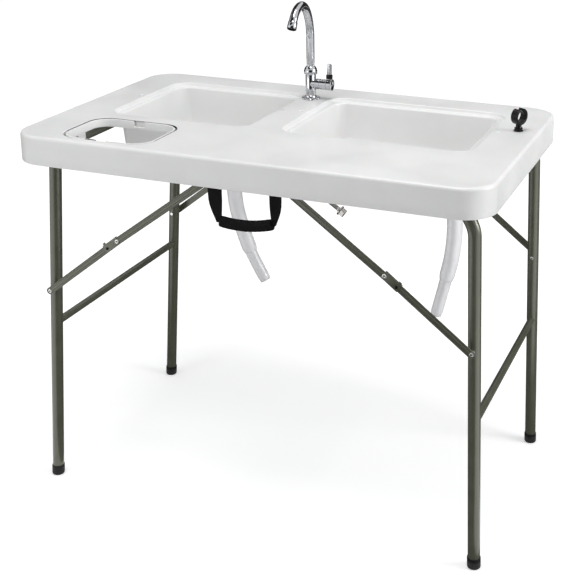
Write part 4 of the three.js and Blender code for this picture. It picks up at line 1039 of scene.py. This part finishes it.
# Saddles and braces
# Zinc-plated saddles hold the frames' top tubes in the hinge blocks. Each leg has a folding brace of
# two ribbed olive links with a knee plate, hung from a bracket on rivets and held by a lock button.
zinc = finish_of("zinc_steel", (0.70, 0.70, 0.69), (0.86, 0.86, 0.85), 0.34, 1, 0.008, 0.1)
add_grain(zinc, size=0.002, depth=0.00008)
inner_layer = 0.3155
outer_layer = 0.3188
button_layer = 0.3211
link_thickness = 0.003
link_half = 0.0085
channel_depth = 0.0014
head_radius = 0.0052
head_height = 0.0018
bore_radius = 0.0018
lock_distance = 0.0345
lock_half = 0.004
lock_radius = 0.0032
plate_ends = (-0.004, 0.042)
tab_ends = (lock_distance - lock_half, lock_distance + lock_half)
lip_from = link_half + 0.0003
lip_to = link_half + 0.0023
tab_to = link_half + 0.0068
# Blocks of the knee plate: along the link, across it, outwards from it, and the ease of its edges
knee_plate = [
    (plate_ends, (-link_half, lip_to), (0.0002, link_thickness - 0.0002), 0.0006),
    (plate_ends, (lip_from, lip_to), (inner_layer - outer_layer, 0.0004), 0.0003),
    (tab_ends, (lip_from, tab_to), (0.0006, 0.0022), 0.0007),
]
link_points = {
    "left": {"pivot": (-0.0227, 0.897), "knee": (-0.310502, 0.685801), "rivet": (-0.509818, 0.530)},
    "right": {"pivot": (0.1007, 0.869), "knee": (0.335093, 0.698839), "rivet": (0.530057, 0.547)},
}


def eased_copy(node, name, body):
    """A copy of a pressed zinc part with its sharp edges eased."""
    bm = bmesh.new()
    bm.from_mesh(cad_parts[node].data)
    bmesh.ops.remove_doubles(bm, verts=bm.verts, dist=1e-6)
    bmesh.ops.dissolve_limit(bm, angle_limit=math.radians(1), verts=bm.verts, edges=bm.edges)
    ease_edges(bm, sharp_edges(bm, 0.9), 0.0004, clamp_overlap=True)
    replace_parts(add_piece(name, bm, zinc, body, 40), node)


def beside(start, end, layer, across):
    """A place whose X runs from one point to another beside the table, and whose Z points outwards."""
    along = Vector((end.x - start.x, 0, end.y - start.y)).normalized()
    outward = Vector((0, across, 0))
    turned = Matrix((along, outward.cross(along), outward)).transposed().to_4x4()
    return Matrix.Translation((start.x, across * layer, start.y)) @ turned


def pressed_link(start, end, layer, across):
    """A flat bar with round ends, raised edges and a rib along its middle, pressed from strip."""
    bar = bmesh.new()
    edge = link_thickness - 0.0006
    channel = channel_depth - link_thickness
    pressed = [(0, -edge)] + downward_first(0, -edge, 0.0006, -0.0006, 3) + [(0.0014, -link_thickness)]
    pressed += [(0.0024, channel), (0.0052, channel), (0.0062, 0.0002 - link_thickness)]
    pressed += [(0.0078, -link_thickness)]
    round_sides = 32
    between_corners = Matrix.Rotation(math.pi / round_sides, 4, "Z")
    for front in (False, True):
        ring = bmesh.ops.create_circle(
            bar, cap_ends=True, segments=round_sides, radius=link_half, matrix=between_corners,
        )["verts"]
        far_end = [vert for vert in ring if vert.co.x > 0]
        bmesh.ops.translate(bar, vec=((end - start).length, 0, 0), verts=far_end)
        face = ring[0].link_faces[0]
        face.normal_update()
        if (face.normal.z > 0) != front:
            face.normal_flip()
        if front:
            step_in(bar, face, pressed)
    bmesh.ops.remove_doubles(bar, verts=bar.verts, dist=1e-6)
    bmesh.ops.recalc_face_normals(bar, faces=bar.faces)
    bmesh.ops.transform(bar, matrix=beside(start, end, layer, across), verts=bar.verts)
    return bar


def add_rivet_end(stem, name, face, bore_shade_height, body, tail=(), height=head_height):
    """The rolled head of a tubular rivet with any tail behind the link, and a black plug that paints
    the shade in its open bore.
    """
    head = bmesh.new()
    turn(head, [
        (0, -0.001), (head_radius * 0.36, -0.001), (head_radius * 0.36, height * 0.45),
        (head_radius * 0.45, height * 0.85), (head_radius * 0.6, height), (head_radius * 0.78, height * 0.9),
        (head_radius * 0.92, height * 0.6), (head_radius, height * 0.2), (head_radius, 0),
        (head_radius * 0.6, -0.0003), (0, -0.0013),
    ], face, steps=28)
    if tail:
        turn(head, tail, face, steps=24)
    piece = add_piece(f"{stem}_{name}_eyelet", head, zinc, body)
    # A black plug fills the open bore: painted shade of the hollow rivet.
    bore_shade = bmesh.new()
    hollow = [(0, bore_shade_height), (bore_radius, bore_shade_height), (bore_radius, 0.0002), (0, 0.0002)]
    turn(bore_shade, hollow, face, steps=16)
    add_piece(f"{stem}_{name}_bore", bore_shade, black_plastic, body)
    return piece


knee_tail = [
    (0, -0.0074), (0.0026, -0.0074), (0.0026, -0.0066), (0.0046, -0.0066), (0.0046, -0.0072),
    (0.0038, -0.0082), (0.0020, -0.0084), (0, -0.0084),
]
for side, points in link_points.items():
    pivot, knee, rivet = [Vector(points[name]) for name in ("pivot", "knee", "rivet")]
    lock = knee + (rivet - knee).normalized() * lock_distance
    for name, across in (("front", -1), ("rear", 1)):
        stem = f"{side}_{name}"
        eased_copy(f"{stem}_saddle", f"{stem}_saddle_plate", "table")
        eased_copy(f"{stem}_brace_bracket", f"{stem}_hanging_bracket", "table")
        eased_copy(f"{stem}_leg_rivet", f"{stem}_leg_spacer", f"{side}_leg")

        upper = pressed_link(pivot, knee, outer_layer, across)
        past_knee = beside(knee, rivet, outer_layer, across)
        skyward = 1 if past_knee[2][1] > 0 else -1
        for (start, end), sides, (inside, outside), ease in knee_plate:
            lowest, highest = sorted(skyward * upward for upward in sides)
            block(upper, (start, lowest, inside), (end, highest, outside), ease, past_knee)
        bmesh.ops.recalc_face_normals(upper, faces=upper.faces)
        piece = add_piece(f"{stem}_upper_bar", upper, olive_coat, f"{side}_upper_links")
        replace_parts(piece, f"{stem}_upper_link")

        lower = pressed_link(knee, rivet, inner_layer, across)
        piece = add_piece(f"{stem}_lower_bar", lower, olive_coat, f"{side}_lower_links")
        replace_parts(piece, f"{stem}_lower_link")

        knee_face = past_knee @ Matrix.Translation((0, 0, link_thickness))
        piece = add_rivet_end(stem, "knee", knee_face, 0.0007, f"{side}_upper_links", knee_tail)
        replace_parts(piece, f"{stem}_knee_rivet")
        sunk = Matrix.Translation(((rivet - knee).length, 0, link_thickness - channel_depth))
        leg_face = beside(knee, rivet, inner_layer, across) @ sunk
        add_rivet_end(stem, "leg", leg_face, 0.0006, f"{side}_lower_links", height=channel_depth + 0.0002)

        button = bmesh.new()
        turn(button, [
            (0, 0.003), (lock_radius * 0.55, 0.003), (lock_radius * 0.86, 0.0026), (lock_radius, 0.0018),
            (lock_radius, 0), (0, 0),
        ], beside(lock, rivet, button_layer, across), steps=24)
        piece = add_piece(f"{stem}_spring_button", button, black_plastic, f"{stem}_button")
        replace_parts(piece, f"{stem}_lock_button")


# Floor and light
# A plain pale floor runs out into a white background, under broad soft lamps and an even sky.
def seen_directly(tree):
    """Is 1 for what the camera sees, also by way of metal or glass, and 0 for what only lights the piece."""
    rays = add_node(tree, "LightPath").outputs
    direct = rays["Is Camera Ray"]
    for kind in ("Is Glossy Ray", "Is Transmission Ray"):
        direct = add_node(tree, "Math", {0: direct, 1: rays[kind]}, operation="MAXIMUM").outputs["Value"]
    return direct


stage_floor = bmesh.new()
bmesh.ops.create_circle(stage_floor, cap_ends=True, segments=96, radius=9)
floor = new_object("studio_floor", stage_floor)
floor_paint = bpy.data.materials.new("studio_floor")
floor_paint.use_nodes = True
tune(floor_paint, Base_Color=(0.90, 0.90, 0.90, 1), Roughness=0.9, Specular_IOR_Level=0.0)
floor_tree = floor_paint.node_tree
floor_place = add_node(floor_tree, "TexCoord").outputs["Object"]
from_middle = add_node(floor_tree, "VectorMath", {0: floor_place}, operation="LENGTH")
lift = add_node(floor_tree, "MapRange", {
    "Value": from_middle.outputs["Value"], "From Min": 0.5, "From Max": 3.0, "To Min": 0.40, "To Max": 0.66,
})
level_inputs = {0: seen_directly(floor_tree), 1: lift.outputs["Result"]}
level = add_node(floor_tree, "Math", level_inputs, operation="MULTIPLY")
glow = add_node(floor_tree, "Emission", {"Strength": level.outputs["Value"]})
matt = floor_tree.nodes["Principled BSDF"].outputs["BSDF"]
painted = add_node(floor_tree, "AddShader", {0: matt, 1: glow.outputs["Emission"]})
feed(floor_tree, floor_tree.nodes["Material Output"], {"Surface": painted.outputs["Shader"]})
floor.data.materials.append(floor_paint)

sky = bpy.data.worlds.new("studio_sky")
scene.world = sky
sky.use_nodes = True
sky_tree = sky.node_tree
lit_sky = sky_tree.nodes["Background"]
feed(sky_tree, lit_sky, {"Color": (0.98, 0.99, 1.0, 1), "Strength": 0.44})
white_sky = add_node(sky_tree, "Background", {"Color": (1, 1, 1, 1)})
sky_mix = add_node(sky_tree, "MixShader", {
    "Fac": seen_directly(sky_tree), 1: lit_sky.outputs["Background"], 2: white_sky.outputs["Background"],
})
feed(sky_tree, sky_tree.nodes["World Output"], {"Surface": sky_mix.outputs["Shader"]})


def soft_lamp(name, place, aim, size, power):
    """A square soft box that faces a point."""
    light = bpy.data.lights.new(name, "AREA")
    light.size = size
    light.energy = power
    lamp = bpy.data.objects.new(name, light)
    facing = (Vector(aim) - Vector(place)).to_track_quat("-Z", "Y").to_matrix().to_4x4()
    lamp.matrix_world = Matrix.Translation(place) @ facing
    scene.collection.objects.link(lamp)


soft_lamp("overhead_lamp", (0.0, -0.5, 3.4), (0, 0, 0.8), 1.4, 39)
soft_lamp("right_lamp", (2.8, 0.2, 1.5), (0.4, 0, 0.7), 1.2, 36)
soft_lamp("left_front_lamp", (-1.7, -2.0, 1.1), (-0.5, -0.2, 0.7), 1.0, 8)


# Dark cards
# Two curved dark cards stand behind and in front of the table, one lies on the floor and two hang over
# the faucet and the front. Only gloss shows them, as the dark edges and streaks of a studio photograph.
card_paint = bpy.data.materials.new("dark_card")
card_paint.use_nodes = True
tune(card_paint, Base_Color=(0.05, 0.05, 0.05, 1), Roughness=1.0)


def stage_card(name, card):
    """A dark card that only glossy rays meet."""
    piece = new_object(name, card)
    piece.data.materials.append(card_paint)
    piece.visible_camera = False
    piece.visible_diffuse = False
    piece.visible_transmission = False
    piece.visible_shadow = False


def level_card(name, outline, height):
    """A level card with a given outline."""
    card = bmesh.new()
    card.faces.new([card.verts.new((x, y, height)) for x, y in outline])
    stage_card(name, card)


def standing_card(name, facing, spread, distance):
    """A curved card about the table, from knee height to above the spout."""
    card = bmesh.new()
    start = facing - spread / 2
    foot = Vector((math.cos(start) * distance, math.sin(start) * distance, 0.1))
    low = card.verts.new(foot)
    high = card.verts.new(foot + Vector((0, 0, 3.2)))
    edge = card.edges.new((low, high))
    bmesh.ops.spin(card, geom=[low, high, edge], cent=(0, 0, 0), axis=(0, 0, 1), angle=spread, steps=24)
    stage_card(name, card)


away = math.atan2(-camera_back.y, -camera_back.x)
standing_card("rear_card", away, math.radians(150), 4.5)
standing_card("front_card", away + math.pi, math.radians(64), 4.8)
floor_outline = [
    (-0.50, -4.4), (2.6, -3.2), (0.60, -0.45), (0.60, -0.10), (4.4, 0.9), (2.4, 3.8), (-1.5, 4.4),
    (-4.0, 2.2), (-4.4, -0.4), (-0.60, -0.10), (-0.50, -0.35),
]
level_card("floor_card", floor_outline, 0.02)
level_card("faucet_card", [(-0.32, -0.25), (-0.06, -0.25), (-0.06, 0.38), (-0.32, 0.38)], 1.32)
level_card("hanging_card", [(-1.4, -2.4), (0.9, -2.4), (0.9, -1.15), (-1.4, -1.15)], 3.0)
